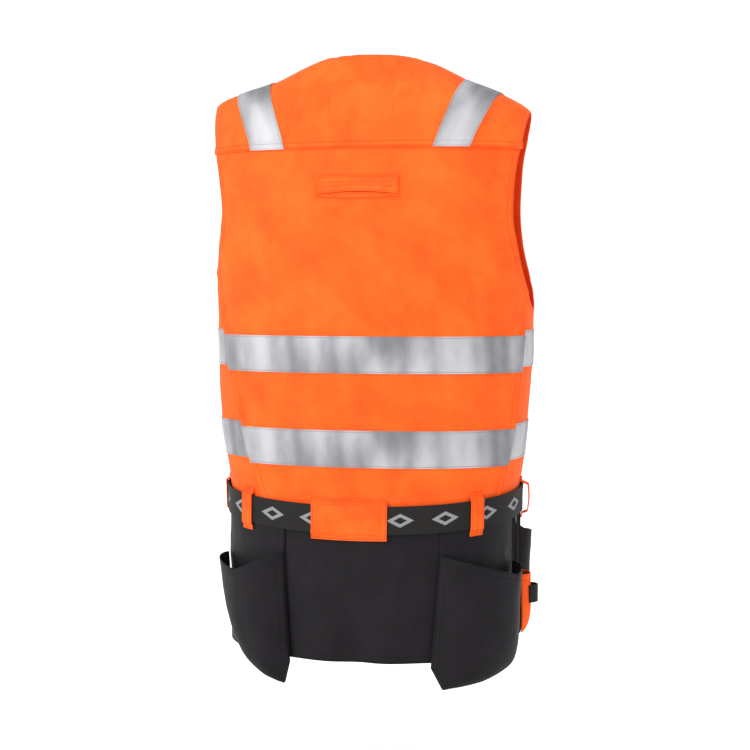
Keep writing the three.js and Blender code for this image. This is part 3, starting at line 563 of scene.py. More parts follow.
class Finish:
    """One material: node() adds any node, and the shader's sockets are set by name."""

    def __init__(self, name):
        self.material = bpy.data.materials.new(name)
        self.material.use_nodes = True
        self.tree = self.material.node_tree
        self.shader = self.tree.nodes["Principled BSDF"]

    def node(self, kind, settings, sockets, out=0):
        node = self.tree.nodes.new(kind)
        for key, value in settings.items():
            setattr(node, key, value)
        named = sockets.items() if isinstance(sockets, dict) else enumerate(sockets)
        for key, value in named:
            self.join(node.inputs[key], value)
        return Wire(self, node.outputs[out])

    def join(self, socket, value):
        if isinstance(value, Wire):
            self.tree.links.new(value.socket, socket)
        else:
            socket.default_value = value

    def set(self, **sockets):
        for key, value in sockets.items():
            self.join(self.shader.inputs[key.replace("_", " ")], value)

    def threads(self):
        """Two values: metres across and metres up the cloth."""
        place = self.node("ShaderNodeUVMap", {"uv_map": "cloth"}, {})
        across = self.node("ShaderNodeSeparateXYZ", {}, [place], "X")
        up = self.node("ShaderNodeSeparateXYZ", {}, [place], "Y")
        return place, across, up

    def noise(self, place, scale, detail=2.0, stretch=(1, 1, 1)):
        place = self.node("ShaderNodeVectorMath", {"operation": "MULTIPLY"}, [place, stretch])
        sockets = {"Vector": place, "Scale": scale, "Detail": detail, "Roughness": 0.55}
        return self.node("ShaderNodeTexNoise", {}, sockets, "Fac")

    def tint(self, share, low, high):
        sockets = {"Factor": share, "A": (*low, 1) if isinstance(low, tuple) else low}
        sockets["B"] = (*high, 1) if isinstance(high, tuple) else high
        node = self.tree.nodes.new("ShaderNodeMix")
        node.data_type = "RGBA"
        self.join(node.inputs[0], share)
        self.join(node.inputs[6], sockets["A"])
        self.join(node.inputs[7], sockets["B"])
        return Wire(self, node.outputs[2])

    def relief(self, height, strength=1.0):
        sockets = {"Height": height, "Distance": 1.0, "Strength": strength}
        self.set(Normal=self.node("ShaderNodeBump", {}, sockets, "Normal"))


def hem_channels(finish, lines, depth, wide):
    """A soft channel where each row of stitches pulls the cloth in, by distance from the hem. The
    finishes sink the cloth along it and darken its colour there as painted shade.
    """
    hem = finish.node("ShaderNodeAttribute", {"attribute_name": "hem"}, {}, "Fac")
    channel = 0
    for line in lines:
        channel = (1 - (hem - line).size().clipped(0, wide)) + channel
    return channel * depth


def twill_finish():
    finish = Finish("orange_twill")
    place, across, up = finish.threads()
    rib = ((across + up * 1.2) * (2 * math.pi / 0.0013)).sine()
    thread = ((across - up * 0.4) * (2 * math.pi / 0.0007)).sine()
    slub = finish.noise(place, 420, 3, (1, 0.35, 1))
    cloud = finish.noise(place, 14, 3)
    crumple = finish.noise(place, 55, 4, (1, 0.8, 1))
    channel = hem_channels(finish, TWO_ROWS, 1, 0.0011)
    # Colour: random tone from the cloud, plus painted shade, a deeper orange in the crumple's hollows
    # and along the stitch channels.
    tone_and_hollow_shade = (cloud * 1.4 - 0.2) + (crumple - 0.5) * 0.5 - channel * 0.45
    colour = finish.tint(tone_and_hollow_shade.clipped(0, 1), (0.93, 0.08, 0.005), (1.0, 0.145, 0.014))
    finish.set(Base_Color=colour, Roughness=0.82 - slub * 0.12, Sheen_Weight=0.05)
    finish.set(Sheen_Roughness=0.5, Sheen_Tint=(1, 0.55, 0.35, 1), Specular_IOR_Level=0.2)
    weave = rib * 0.00003 + thread * 0.000015 + slub * 0.00006
    finish.relief(weave + crumple * 0.0011 - channel * 0.00035, 0.8)
    return finish.material


def thread_finish(name, colour):
    finish = Finish(name)
    place = finish.node("ShaderNodeTexCoord", {}, {}, "Object")
    twist = finish.noise(place, 1400, 2)
    finish.set(Base_Color=(*colour, 1), Roughness=0.6 + twist * 0.2, Specular_IOR_Level=0.25)
    return finish.material


orange_twill = twill_finish()
orange_thread = thread_finish("orange_thread", (0.8, 0.075, 0.008))

BACK_STEPS = [1, 5, 2, 5]
back_side = {column: seam_top_level(column) for column in ("left", "right")}


def back_edge(level, column):
    seam = seam_angle(level, column) + (SEAM_GAP / 2 - SEAM_LAP) / section_at(level)[1]
    armhole = armhole_angle(level, 1)
    low = smooth_step(back_side[column] - level, -0.001, 0.012)
    return np.where(level > back_side[column], armhole, mix(armhole_angle(level, 1), seam, low))


def back_turn(left, right, share):
    return mix(back_edge(left, "left"), np.pi - back_edge(right, "right"), share)


def back_spot(i, j):
    share = i / 24
    middle = -BELT_DROP - BELT_WIDTH / 2
    above = middle + BELT_WIDTH
    seams = [mix(back_side["left"], back_side["right"], s) for s in (0, 1, share)]
    stops = [middle, above, -BACK_UPPER_TAPE_DROP, seams[0], -YOKE_DROP]
    left = along_stops(stops, BACK_STEPS, j)
    stops[3] = seams[1]
    right = along_stops(stops, BACK_STEPS, j)
    angle = back_turn(left, right, share)
    stops = [waist_level(angle), above, -BACK_UPPER_TAPE_DROP, seams[2], -YOKE_DROP - SEAM_GAP]
    return angle, along_stops(stops, BACK_STEPS, j)


def back_lap(angle, level):
    """The back's side edges lap over the fronts below the armholes."""
    rise = 0
    for column, turned in (("left", angle), ("right", np.pi - angle)):
        edge = seam_angle(level, column)
        away = (turned - edge) * section_at(level)[0] + SEAM_LAP
        below = smooth_step(back_side[column] - level, -0.004, 0.01)
        rise = rise + LAP_RISE * below * (1 - smooth_step(away, 0.003, LAP_REACH))
    return rise


back_cloth = Cloth(
    back_spot,
    lambda i, j: back_lap(*back_spot(i, j)),
    np.linspace(0, 24, 145),
    np.concatenate([np.linspace(0, 1, 10), np.linspace(1, 6, 71)[1:], np.linspace(6, 8, 25)[1:],
                    np.linspace(8, 13, 61)[1:]]),
)
lay_cloth("back_panel_cloth", back_cloth, orange_twill, ["back_panel"],
          hems=SIDES)


def level_share(level):
    """How far up the back's side edge a level between the waist and the upper tape lies."""
    above = -BELT_DROP + BELT_WIDTH / 2
    return (1 + 5 * (level - above) / (-BACK_UPPER_TAPE_DROP - above)) / 13


# Two rows beside the armholes and side seams, broken where tape covers them, and two more
# along the waist seam.
bare = [
    (0.6 / 13, level_share(-BACK_LOWER_TAPE_DROP - TAPE_WIDTH)),
    (level_share(-BACK_LOWER_TAPE_DROP), level_share(-BACK_UPPER_TAPE_DROP - TAPE_WIDTH)),
    (6 / 13, 0.999),
]
rows = [back_cloth.line(edge, inset, *stretch)
        for edge in SIDES for inset in TWO_ROWS for stretch in bare]
waist = back_edge(-BELT_DROP, "left"), np.pi - back_edge(-BELT_DROP, "right")
for rise in (0.004, 0.0115):
    angle = np.linspace(waist[0] + 0.03, waist[1] - 0.03, 400)
    level = belt_top(angle) + rise
    rows.append(body_line(angle, level))
sew("back_panel_stitches", rows, orange_thread)


# Back yoke: a second layer of the same twill over the shoulders, its lower edge turned in and
# topstitched twice onto the back panel. A plain oblong of stitches in its middle holds the
# facing inside, and its neck edge is turned and stitched.
NECK_HALF = 0.098
BACK_NECK_RISE = 0.01
SHOULDER_TAPE_AT_RIDGE = 0.166
SHOULDER_TAPE_AT_YOKE = 0.13
YOKE_OBLONG = [(-0.048, -0.03), (-0.048, -0.085), (0.044, -0.085), (0.044, -0.03)]
YOKE_STEPS = [5, 2, 3, 2]
YOKE_ROWS = 8
yoke_side = sum(YOKE_STEPS)
half_tape = TAPE_WIDTH / 2


def yoke_spot(i, j):
    out = np.abs(i - yoke_side)
    side = np.where(i < yoke_side, 1, -1)
    edge = body_point(armhole_angle(-YOKE_DROP, 1), -YOKE_DROP)[..., 0]
    low = [0, NECK_HALF * 0.82, SHOULDER_TAPE_AT_YOKE - half_tape,
           SHOULDER_TAPE_AT_YOKE + half_tape, edge]
    high = [0, NECK_HALF, SHOULDER_TAPE_AT_RIDGE - half_tape,
            SHOULDER_TAPE_AT_RIDGE + half_tape, SHOULDER_HALF]
    top = along_stops(high, YOKE_STEPS, out)
    neck_angle = mix(np.pi / 2, 0, np.clip(out / YOKE_STEPS[0], 0, 1))
    neck_level = BACK_NECK_RISE * np.clip(np.sin(neck_angle), 0, 1) ** 0.45
    neck = out <= YOKE_STEPS[0]
    top_level = np.where(neck, neck_level, ridge_level(top))
    top = np.where(neck, body_point(neck_angle, neck_level)[..., 0], top)
    climb = 1 - np.clip(1 - j / YOKE_ROWS, 0, 1) ** 1.8
    across = mix(along_stops(low, YOKE_STEPS, out), top, climb)
    level = mix(-YOKE_DROP, top_level, climb)
    angle = angle_at(across, level, 1)
    lap = SEAM_LAP * np.clip(1 - j, 0, 1)
    return np.where(side > 0, angle, np.pi - angle), level - lap


def yoke_lap(level):
    return LAP_RISE * (1 - smooth_step(level, -YOKE_DROP + 0.002, -YOKE_DROP + LAP_REACH))


yoke_cloth = Cloth(yoke_spot, lambda i, j: yoke_lap(yoke_spot(i, j)[1]),
                   np.linspace(0, 24, 145), np.linspace(0, 8, 57))
lay_cloth("back_yoke_cloth", yoke_cloth, orange_twill, ["back_yoke"],
          hems=ALL_EDGES)
rows = [yoke_cloth.line("low", inset, *stretch) for inset in TWO_ROWS
        for stretch in ((0.01, 0.083), (0.209, 0.791), (0.917, 0.99))]
rows += [yoke_cloth.line("high", inset, 0.3, 0.7) for inset in (EDGE_ROW, 0.0075)]
rows += [yoke_cloth.line(edge, inset, 0.02, 0.97) for edge in SIDES for inset in TWO_ROWS]
for start, end in zip(YOKE_OBLONG, YOKE_OBLONG[1:] + YOKE_OBLONG[:1]):
    x = np.linspace(start[0], end[0], 60)
    level = np.linspace(start[1], end[1], 60)
    turned = angle_at(np.abs(x), level, 1)
    angle = np.where(x > 0, turned, np.pi - turned)
    rows.append(body_line(angle, level))
sew("yoke_stitches", rows, orange_thread)


# Front panels: each one piece of the same twill from the zip round the side to the side seam,
# where the back laps over it. The hidden front is plain, with turned and stitched edges.
V_NECK_DROP = 0.12
FRONT_TAPE_LIFT = 0.007
ZIP_GAP_HALF = 0.004
FRONT_HEM_BELOW_BELT = 0.014
FRONT_STEPS = [4, 2, 2]
FRONT_SIDE = 9
front_main = sum(FRONT_STEPS)
above_belt = -BELT_DROP + BELT_WIDTH / 2
front_upper_tape = -BACK_UPPER_TAPE_DROP + FRONT_TAPE_LIFT
front_lower_tape = -BACK_LOWER_TAPE_DROP + FRONT_TAPE_LIFT
underarm_turn = math.radians(-31)
underarm_level = float(armhole_level(underarm_turn))
FRONT_LEVELS = [
    above_belt,
    front_lower_tape - TAPE_WIDTH,
    front_lower_tape,
    mix(front_lower_tape, front_upper_tape - TAPE_WIDTH, 0.5),
    front_upper_tape - TAPE_WIDTH,
    front_upper_tape,
]


def front_stops(level):
    shoulder = angle_at(SHOULDER_TAPE_AT_YOKE - half_tape - 0.003, level, -1)
    shoulder_end = angle_at(SHOULDER_TAPE_AT_YOKE + half_tape - 0.003, level, -1)
    armhole = armhole_angle(np.maximum(level, underarm_level), -1)
    main = np.where(level > underarm_level, armhole, underarm_turn)
    return [angle_at(ZIP_GAP_HALF, level, -1), shoulder, shoulder_end, main]


def front_turn(i, level, column):
    beyond = np.clip((i - front_main) / FRONT_SIDE, 0, 1)
    main = along_stops(front_stops(level), FRONT_STEPS, i)
    gap = SEAM_GAP / 2 / section_at(level)[1]
    side = mix(underarm_turn, seam_angle(level, column) - gap, beyond)
    return np.where(i <= front_main, main, side)


def crest_spot(i, j):
    high = [NECK_HALF, SHOULDER_TAPE_AT_RIDGE - half_tape, SHOULDER_TAPE_AT_RIDGE + half_tape,
            SHOULDER_HALF]
    climb = 1 - np.clip(1 - (j - 13) / 6, 0, 1) ** 1.8
    start = along_stops(front_stops(0 * i - V_NECK_DROP), FRONT_STEPS, i)
    low = body_point(start, 0 * i - V_NECK_DROP)[..., 0]
    top = along_stops(high, FRONT_STEPS, i)
    level = mix(-V_NECK_DROP, ridge_level(top), climb)
    return angle_at(mix(low, top, climb), level, -1), level


def front_spot(column):
    def spot(i, j):
        i = np.asarray(i, float) + 0 * j
        j = np.asarray(j, float) + 0 * i
        beyond = np.clip((i - front_main) / FRONT_SIDE, 0, 1)
        top_turn = mix(underarm_turn, math.radians(SIDE_SEAM_TOP[column]), beyond)
        top = np.where(i <= front_main, underarm_level, armhole_level(top_turn))
        middle = -BELT_DROP - BELT_WIDTH / 2
        level = np.interp(j, range(1, 8), [middle, *FRONT_LEVELS])
        level = np.where(j > 7, mix(front_upper_tape, top, np.clip((j - 7) / 2, 0, 1)), level)
        rising = mix(underarm_level, -V_NECK_DROP, np.clip((j - 9) / 4, 0, 1))
        level = np.where(j > 9, rising, level)
        angle = front_turn(i, level, column)
        waist = waist_level(angle)
        hem = waist - BELT_WIDTH / 2 - FRONT_HEM_BELOW_BELT
        level = np.where(j < 2, mix(waist, above_belt, np.clip(j - 1, 0, 1)), level)
        level = np.where(j < 1, mix(hem, waist, np.clip(j, 0, 1)), level)
        crest_angle, crest_level = crest_spot(np.minimum(i, front_main), np.maximum(j, 13))
        angle = np.where(j > 13, crest_angle, angle)
        level = np.where(j > 13, crest_level, level)
        return (angle if column == "left" else np.pi - angle), level
    return spot


def in_front(i, j):
    return (j > 1 or i < FRONT_STEPS[0]) and (i < front_main or j < 9)


front_cloths = {}
for column in ("left", "right"):
    spot = front_spot(column)
    across = np.linspace(0, 17, 103)
    up = np.concatenate([np.linspace(0, 1, 9), np.linspace(1, 7, 67)[1:],
                         np.linspace(7, 19, 73)[1:]])
    front_cloths[column] = Cloth(spot, 0, across, up)
    dense = np.linspace(0, 1, 160)
    at = front_cloths[column].point
    edges = [
        at(0 * dense, 19 * dense),
        at(0 * dense + 8, mix(9, 19, dense)),
        at(mix(8, 17, dense), 0 * dense + 9),
        at(4 * dense, 0 * dense),
        at(8 * dense, 0 * dense + 19),
    ]
    lay_cloth(f"front_panel_{column}_cloth", front_cloths[column], orange_twill,
              [f"front_panel_{column}"], hems=edges, keep=in_front)
    row = front_cloths[column].row
    rows = []
    for inset in TWO_ROWS:
        rows.append(row(0 * dense, 18.95 * dense, (1, 0), inset))
        rows.append(row(0 * dense + 8, mix(9.1, 18.9, dense), (-1, 0), inset))
        rows.append(row(mix(8, 17, dense), 0 * dense + 9, (0, -1), inset))
    rows.append(row(4 * dense, 0 * dense, (0, 1), HEM_ROW))
    sew(f"front_panel_{column}_stitches", rows, orange_thread)


# Reflective tape: 50 mm bands of woven backing under glass beads, silver and faintly mottled,
# with their two edges stitched down. Two go round the chest and one over each shoulder. Their
# colour also carries painted sheen in soft streaks and painted shade along the stitch rows.
TAPE_THICK = 0.001
LAY_GAP = 0.00035
tape_lift = CLOTH + LAY_GAP


def tape_finish():
    finish = Finish("silver_tape")
    place, across, up = finish.threads()
    painted_sheen = finish.noise(place, 9, 2, (1.6, 0.35, 1))
    patch = finish.noise(place, 24, 3, (1, 0.5, 1))
    beads = finish.noise(place, 2600, 1)
    weave = ((across * 0.9 + up) * (2 * math.pi / 0.0009)).sine()
    # Colour: painted sheen in soft streaks along the tape, mixed with faint random mottling.
    share = ((painted_sheen - 0.5) * 2.6 + (patch - 0.5) * 0.9 + 0.5).clipped(0, 1)
    colour = finish.tint(share, (0.17, 0.17, 0.185), (0.5, 0.5, 0.52))
    # Painted shade: a darker grey along the stitch rows, where the tape sinks.
    channel = hem_channels(finish, (EDGE_ROW,), 1, 0.0009)
    colour = finish.tint(channel * 0.5, colour, (0.2, 0.2, 0.21))
    finish.set(Base_Color=colour, Metallic=0.12, Roughness=0.55 - share * 0.1 + beads * 0.1)
    finish.set(Specular_IOR_Level=0.3)
    wrinkle = finish.noise(place, 70, 3, (1, 0.6, 1))
    height = beads * 0.00003 + weave * 0.000012 + wrinkle * 0.0007 - channel * 0.0002
    finish.relief(height, 0.7)
    return finish.material


silver_tape = tape_finish()
silver_thread = thread_finish("silver_thread", (0.28, 0.24, 0.23))


def back_band(low):
    def spot(i, j):
        level = low + TAPE_WIDTH * j
        return back_turn(level, level, i / 24), level + 0 * i
    return spot


back_bands = {}
for name, drop in (("lower", BACK_LOWER_TAPE_DROP), ("upper", BACK_UPPER_TAPE_DROP)):
    spot = back_band(-drop - TAPE_WIDTH)
    lift = lambda i, j, spot=spot: tape_lift + back_lap(*spot(i, j))
    cloth = Cloth(spot, lift, np.linspace(0, 24, 145), np.linspace(0, 1, 15), TAPE_THICK)
    back_bands[name] = cloth
    lay_cloth(f"back_{name}_band", cloth, silver_tape, [f"tape_back_{name}"],
              hems=("low", "high"), crisp=True)

front_bands = []
for column in ("left", "right"):
    for name, high in (("lower", front_lower_tape), ("upper", front_upper_tape)):
        def spot(i, j, column=column, high=high):
            level = high - TAPE_WIDTH * (1 - j) + 0 * i
            angle = front_turn(i, level, column)
            return (angle if column == "left" else np.pi - angle), level
        cloth = Cloth(spot, tape_lift, np.linspace(0, 17, 103), np.linspace(0, 1, 15), TAPE_THICK)
        front_bands.append(cloth)
        lay_cloth(f"front_{name}_band_{column}", cloth, silver_tape,
                  [f"tape_front_{name}_{column}"], hems=("low", "high"), crisp=True)

shoulder_bands = []
yoke_tape_start = YOKE_STEPS[0] + YOKE_STEPS[1]
for column, first in (("left", yoke_side - yoke_tape_start - 3), ("right", yoke_side + yoke_tape_start)):
    lift = lambda i, j: tape_lift + yoke_lap(yoke_spot(i, j)[1])
    across = np.linspace(first, first + 3, 19)
    cloth = Cloth(yoke_spot, lift, across, np.linspace(0, 8, 49), TAPE_THICK)
    shoulder_bands.append(cloth)
    lay_cloth(f"back_shoulder_band_{column}", cloth, silver_tape,
              [f"shoulder_tape_back_{column}"], hems=SIDES, crisp=True)
    cloth = Cloth(front_spot(column), tape_lift, np.linspace(4, 6, 19),
                  np.linspace(7.02, 19, 121), TAPE_THICK)
    shoulder_bands.append(cloth)
    lay_cloth(f"front_shoulder_band_{column}", cloth, silver_tape,
              [f"shoulder_tape_front_{column}"], hems=SIDES, crisp=True)


rows = [cloth.line(edge, 0.002) for cloth in (*back_bands.values(), *front_bands)
        for edge in ("low", "high")]
sew("band_stitches", rows, silver_thread, 0.0034)
rows = [cloth.line(edge, 0.002) for cloth in shoulder_bands for edge in SIDES]
rows += [cloth.line("low", inset) for cloth in shoulder_bands[::2] for inset in TWO_ROWS]
sew("shoulder_band_stitches", rows, silver_thread, 0.0034)


# Slot in the upper back: a turned flap over a narrow opening and the lip under it, both of the
# same twill, stitched down at their ends.
SLOT_WIDTH = 0.115
SLOT_DROP = 0.158
SLOT_HEIGHT = 0.03
SLOT_FLAP_HEIGHT = 0.021
SLOT_FLAP_BOW = 0.0016


def slot_spot(top, ends, middle):
    def spot(i, j):
        arch = np.sin(np.pi * np.clip(i, 0, 1))
        bottom = mix(ends, middle, arch)
        level = -SLOT_DROP - mix(bottom, top(arch), j)
        return np.pi / 2 + (i - 0.5) * SLOT_WIDTH / section_at(level)[0], level
    return spot


flap_cloth = Cloth(
    slot_spot(lambda arch: 0, SLOT_FLAP_HEIGHT + 0.004, SLOT_FLAP_HEIGHT),
    lambda i, j: tape_lift + SLOT_FLAP_BOW * np.sin(np.pi * np.clip(i, 0, 1)) * (1 - j),
    np.linspace(0, 1, 61),
    np.linspace(0, 1, 15),
)
lay_cloth("slot_flap_cloth", flap_cloth, orange_twill, ["back_slot_flap"],
          hems=ALL_EDGES)
lip_cloth = Cloth(
    slot_spot(lambda arch: mix(SLOT_FLAP_HEIGHT + 0.004, SLOT_FLAP_HEIGHT, arch) + 0.001,
              SLOT_HEIGHT - 0.002, SLOT_HEIGHT),
    tape_lift,
    np.linspace(0, 1, 61),
    np.linspace(0, 1, 7),
)
lay_cloth("slot_lip_cloth", lip_cloth, orange_twill, ["back_slot_lip"],
          hems=("high",))
rows = [flap_cloth.line("high", 0.0018), lip_cloth.line("low", 0.0016)]
rows += [flap_cloth.line(edge, inset) for edge in SIDES for inset in (0.0018, 0.005)]
for start, end in (((-0.062, 0.002), (0.062, 0.002)), ((-0.062, -0.033), (0.062, -0.033)),
                   ((-0.061, 0.002), (-0.061, -0.033)), ((0.061, 0.002), (0.061, -0.033))):
    level = np.linspace(start[1], end[1], 60) - SLOT_DROP
    angle = np.pi / 2 + np.linspace(start[0], end[0], 60) / section_at(level)[0]
    rows.append(body_line(angle, level))
sew("slot_stitches", rows, orange_thread)


# Skirt: the dark grey hard-wearing cloth below the waist seam, across the back, with a narrow
# stitched hem.
SKIRT_TURN = 74


def canvas_finish():
    finish = Finish("charcoal_canvas")
    place, across, up = finish.threads()
    warp = (across * (2 * math.pi / 0.0009)).sine()
    weft = (up * (2 * math.pi / 0.0011)).sine()
    slub = finish.noise(place, 500, 3, (1, 0.5, 1))
    cloud = finish.noise(place, 18, 3)
    crumple = finish.noise(place, 60, 4)
    channel = hem_channels(finish, TWO_ROWS, 1, 0.0011)
    # Colour: random tone from the cloud and slub, plus painted shade along the stitch channels.
    share = (cloud * 1.2 - 0.1 + (slub - 0.5) * 0.6 - channel * 0.4).clipped(0, 1)
    colour = finish.tint(share, (0.0045, 0.0034, 0.005), (0.0115, 0.0088, 0.0122))
    finish.set(Base_Color=colour, Roughness=0.62 - slub * 0.15, Sheen_Weight=0.02)
    finish.set(Sheen_Roughness=0.45, Specular_IOR_Level=0.16)
    weave = warp * weft * 0.00004 + slub * 0.00008
    finish.relief(weave + crumple * 0.0011 - channel * 0.0004, 0.8)
    return finish.material


charcoal_canvas = canvas_finish()
charcoal_thread = thread_finish("charcoal_thread", (0.02, 0.016, 0.02))


def skirt_spot(i, j):
    half = math.radians(SKIRT_TURN)
    angle = mix(np.pi / 2 - half, np.pi / 2 + half, i)
    hem = -VEST_LENGTH + 0.006 * np.cos(angle) ** 2
    return angle, mix(hem, waist_level(angle) - SEAM_GAP / 2, j)


skirt_cloth = Cloth(skirt_spot, 0, np.linspace(0, 1, 141), np.linspace(0, 1, 65))
lay_cloth("skirt_cloth", skirt_cloth, charcoal_canvas, ["skirt_back"],
          hems=("low", "first", "last"))
rows = [skirt_cloth.line("low", HEM_ROW), skirt_cloth.line("high", 0.024)]
rows += [skirt_cloth.line(edge, HEM_ROW) for edge in SIDES]
sew("skirt_stitches", rows, charcoal_thread)


# Holsters: four pockets of the dark cloth. Each has a flat board hung from the waist seam and a
# bag on it, with a face, a folded gusset that stands out, and a hemmed mouth left open.
HOLSTER_CROWN = 0.007
HOLSTER_MOUTH_DROP = 0.668
HOLSTER_MOUTH_FALL = 0.03
HOLSTER_BOTTOM_DROP = 0.85
HOLSTER_CORNER_RISE = 0.032
HOLSTER_HANG = 0.004
BOARD_EASE = 0.0009
HOLSTER_DEPTH = 0.038
board_lift = CLOTH + BOARD_EASE
bag_lift = board_lift + CLOTH + 2 * LAY_GAP
# name, side, half, mouth rise, then turns in degrees, each at the mouth and low down: inner edge,
# fold and outer edge, and last how far the fold stands off, as shares of the depth
HOLSTERS = [
    ("back_left", 1, 1, 0, 63, 66.5, 46, 58, 23.5, 49, 0.65, 0.56),
    ("back_right", -1, 1, 0, 57.5, 61, 28, 43, 18, 21.5, 0.65, 0.65),
    ("front_left", 1, -1, 0.028, 63, 63, 31, 40, 24, 30, 0.8, 0.75),
    ("front_right", -1, -1, 0.028, 63, 63, 31, 40, 24, 30, 0.8, 0.75),
]


def hang(level):
    """The holsters stand off the skirt more towards their bottom."""
    waist = -BELT_DROP - BELT_WIDTH
    return HOLSTER_HANG * smooth_step(waist - level, 0, HOLSTER_BOTTOM_DROP + waist)


def holster_shape(side, half, rise, inner, low_inner, fold, low_fold, outer, low_outer, *stand):
    def place(across, up):
        share = np.clip(up, 0, 1)
        stops = [
            np.radians(mix(low_inner, inner, share)),
            np.radians(mix(low_fold, fold, share)),
            np.radians(mix(low_outer, outer, share)),
        ]
        turn = along_stops(stops, [7, 4], across)
        face = np.clip(across / 7, 0, 1)
        wrap = np.clip((across - 7) / 4, 0, 1)
        mouth = -HOLSTER_MOUTH_DROP - HOLSTER_MOUTH_FALL * (face - 0.4 * wrap) + rise
        chamfer = np.clip(1 - across / 1.6, 0, 1) + 0.6 * wrap + 0.3 * face
        bottom = -HOLSTER_BOTTOM_DROP + HOLSTER_CORNER_RISE * chamfer
        angle = half * turn if side > 0 else np.pi - half * turn
        return angle, bottom, mouth, face, wrap, HOLSTER_DEPTH * mix(stand[1], stand[0], share)
    return place


for name, *shape in HOLSTERS:
    place = holster_shape(*shape)

    def board_spot(i, j, place=place):
        angle, bottom, mouth, *_ = place(i, np.clip(j, 0, 1))
        waist = waist_level(angle) - SEAM_GAP / 2
        low = mix(bottom, mouth, np.clip(j, 0, 1))
        return angle, np.where(j > 1, mix(mouth, waist, np.clip(j - 1, 0, 1)), low)

    def board_off(i, j, spot=board_spot):
        return board_lift + hang(spot(i, j)[1])

    up = np.concatenate([np.linspace(0, 1, 41), np.linspace(1, 2, 17)[1:]])
    board = Cloth(board_spot, board_off, np.linspace(0, 11, 67), up)
    lay_cloth(f"holster_board_{name}_cloth", board, charcoal_canvas,
              [f"holster_board_{name}"], hems=("low", "first", "last"))

    def bag_spot(i, j, place=place):
        angle, bottom, mouth, *_ = place(i, j)
        return angle, mix(bottom, mouth, np.clip(j, 0, 1) ** 1.15)

    def bag_off(i, j, place=place, spot=bag_spot):
        angle, bottom, mouth, face, wrap, stand = place(i, j)
        up = np.clip(j / 0.42, 0, 1)
        belly = np.sqrt(np.clip(1 - (1 - up) ** 2, 0, 1))
        crown = HOLSTER_CROWN * np.sin(np.pi * face) * (1 - wrap)
        out = stand * face ** 0.8 * np.sqrt(np.clip(1 - wrap * wrap, 0, 1)) + crown
        return bag_lift + hang(spot(i, j)[1]) + belly * out

    across = np.concatenate([np.linspace(0, 7, 57), np.linspace(7, 11, 33)[1:]])
    bag = Cloth(bag_spot, bag_off, across, np.linspace(0, 1, 57))
    lay_cloth(f"holster_bag_{name}_cloth", bag, charcoal_canvas,
              [f"holster_bag_{name}"], hems=ALL_EDGES)
    rows = [bag.line(edge, inset, 0.02, 0.98) for edge in SIDES for inset in TWO_ROWS]
    rows += [bag.line("high", 0.009, 0.01, 0.99), bag.line("low", EDGE_ROW, 0.01, 0.99)]
    rows += [board.line(edge, EDGE_ROW, 0.5, 0.99) for edge in SIDES]
    sew(f"holster_{name}_stitches", rows, charcoal_thread, 0.0034)


# Tool pockets: beside each front holster a strip of the dark cloth carries a small orange pocket
# and a loop of black webbing across it.
WEBBING = 0.002
TOOL_POCKET_TURN = 14
TOOL_POCKET_WIDTH_TURN = 16
TOOL_POCKET_DROP = 0.718
TOOL_POCKET_HEIGHT = 0.084
TOOL_POCKET_DEPTH = 0.014
TOOL_LOOP_WIDTH = 0.025
TOOL_LOOP_DROP = 0.735
TOOL_LOOP_STAND = 0.008


def webbing_finish(name, marks):
    finish = Finish(name)
    place, across, up = finish.threads()
    rib = (across * (2 * math.pi / 0.0013)).sine()
    cord = (up * (2 * math.pi / 0.0016)).sine()
    slub = finish.noise(place, 700, 2)
    share = (rib * 0.25 + cord * 0.15 + slub).clipped(0.1, 1)
    colour = finish.tint(share, (0.008, 0.0075, 0.007), (0.024, 0.022, 0.02))
    if marks:
        turn = (across + 10).wrapped(0.0305)
        inside = 1 - (turn / 0.019 + up.size() / 0.0095).clipped(0.94, 1.02)
        hole = 1 - (turn / 0.0095 + up.size() / 0.0048).clipped(0.9, 1.05)
        weave = (rib * 0.5 + 0.5) * 0.25 + 0.75
        mark = inside * (1 - hole) * weave
        colour = finish.tint(mark, colour, (0.3, 0.3, 0.325))
    finish.set(Base_Color=colour, Roughness=0.62 - slub * 0.1, Specular_IOR_Level=0.15)
    finish.relief(rib * cord * 0.00009 + rib * 0.00008 + slub * 0.00005, 0.8)
    return finish.material


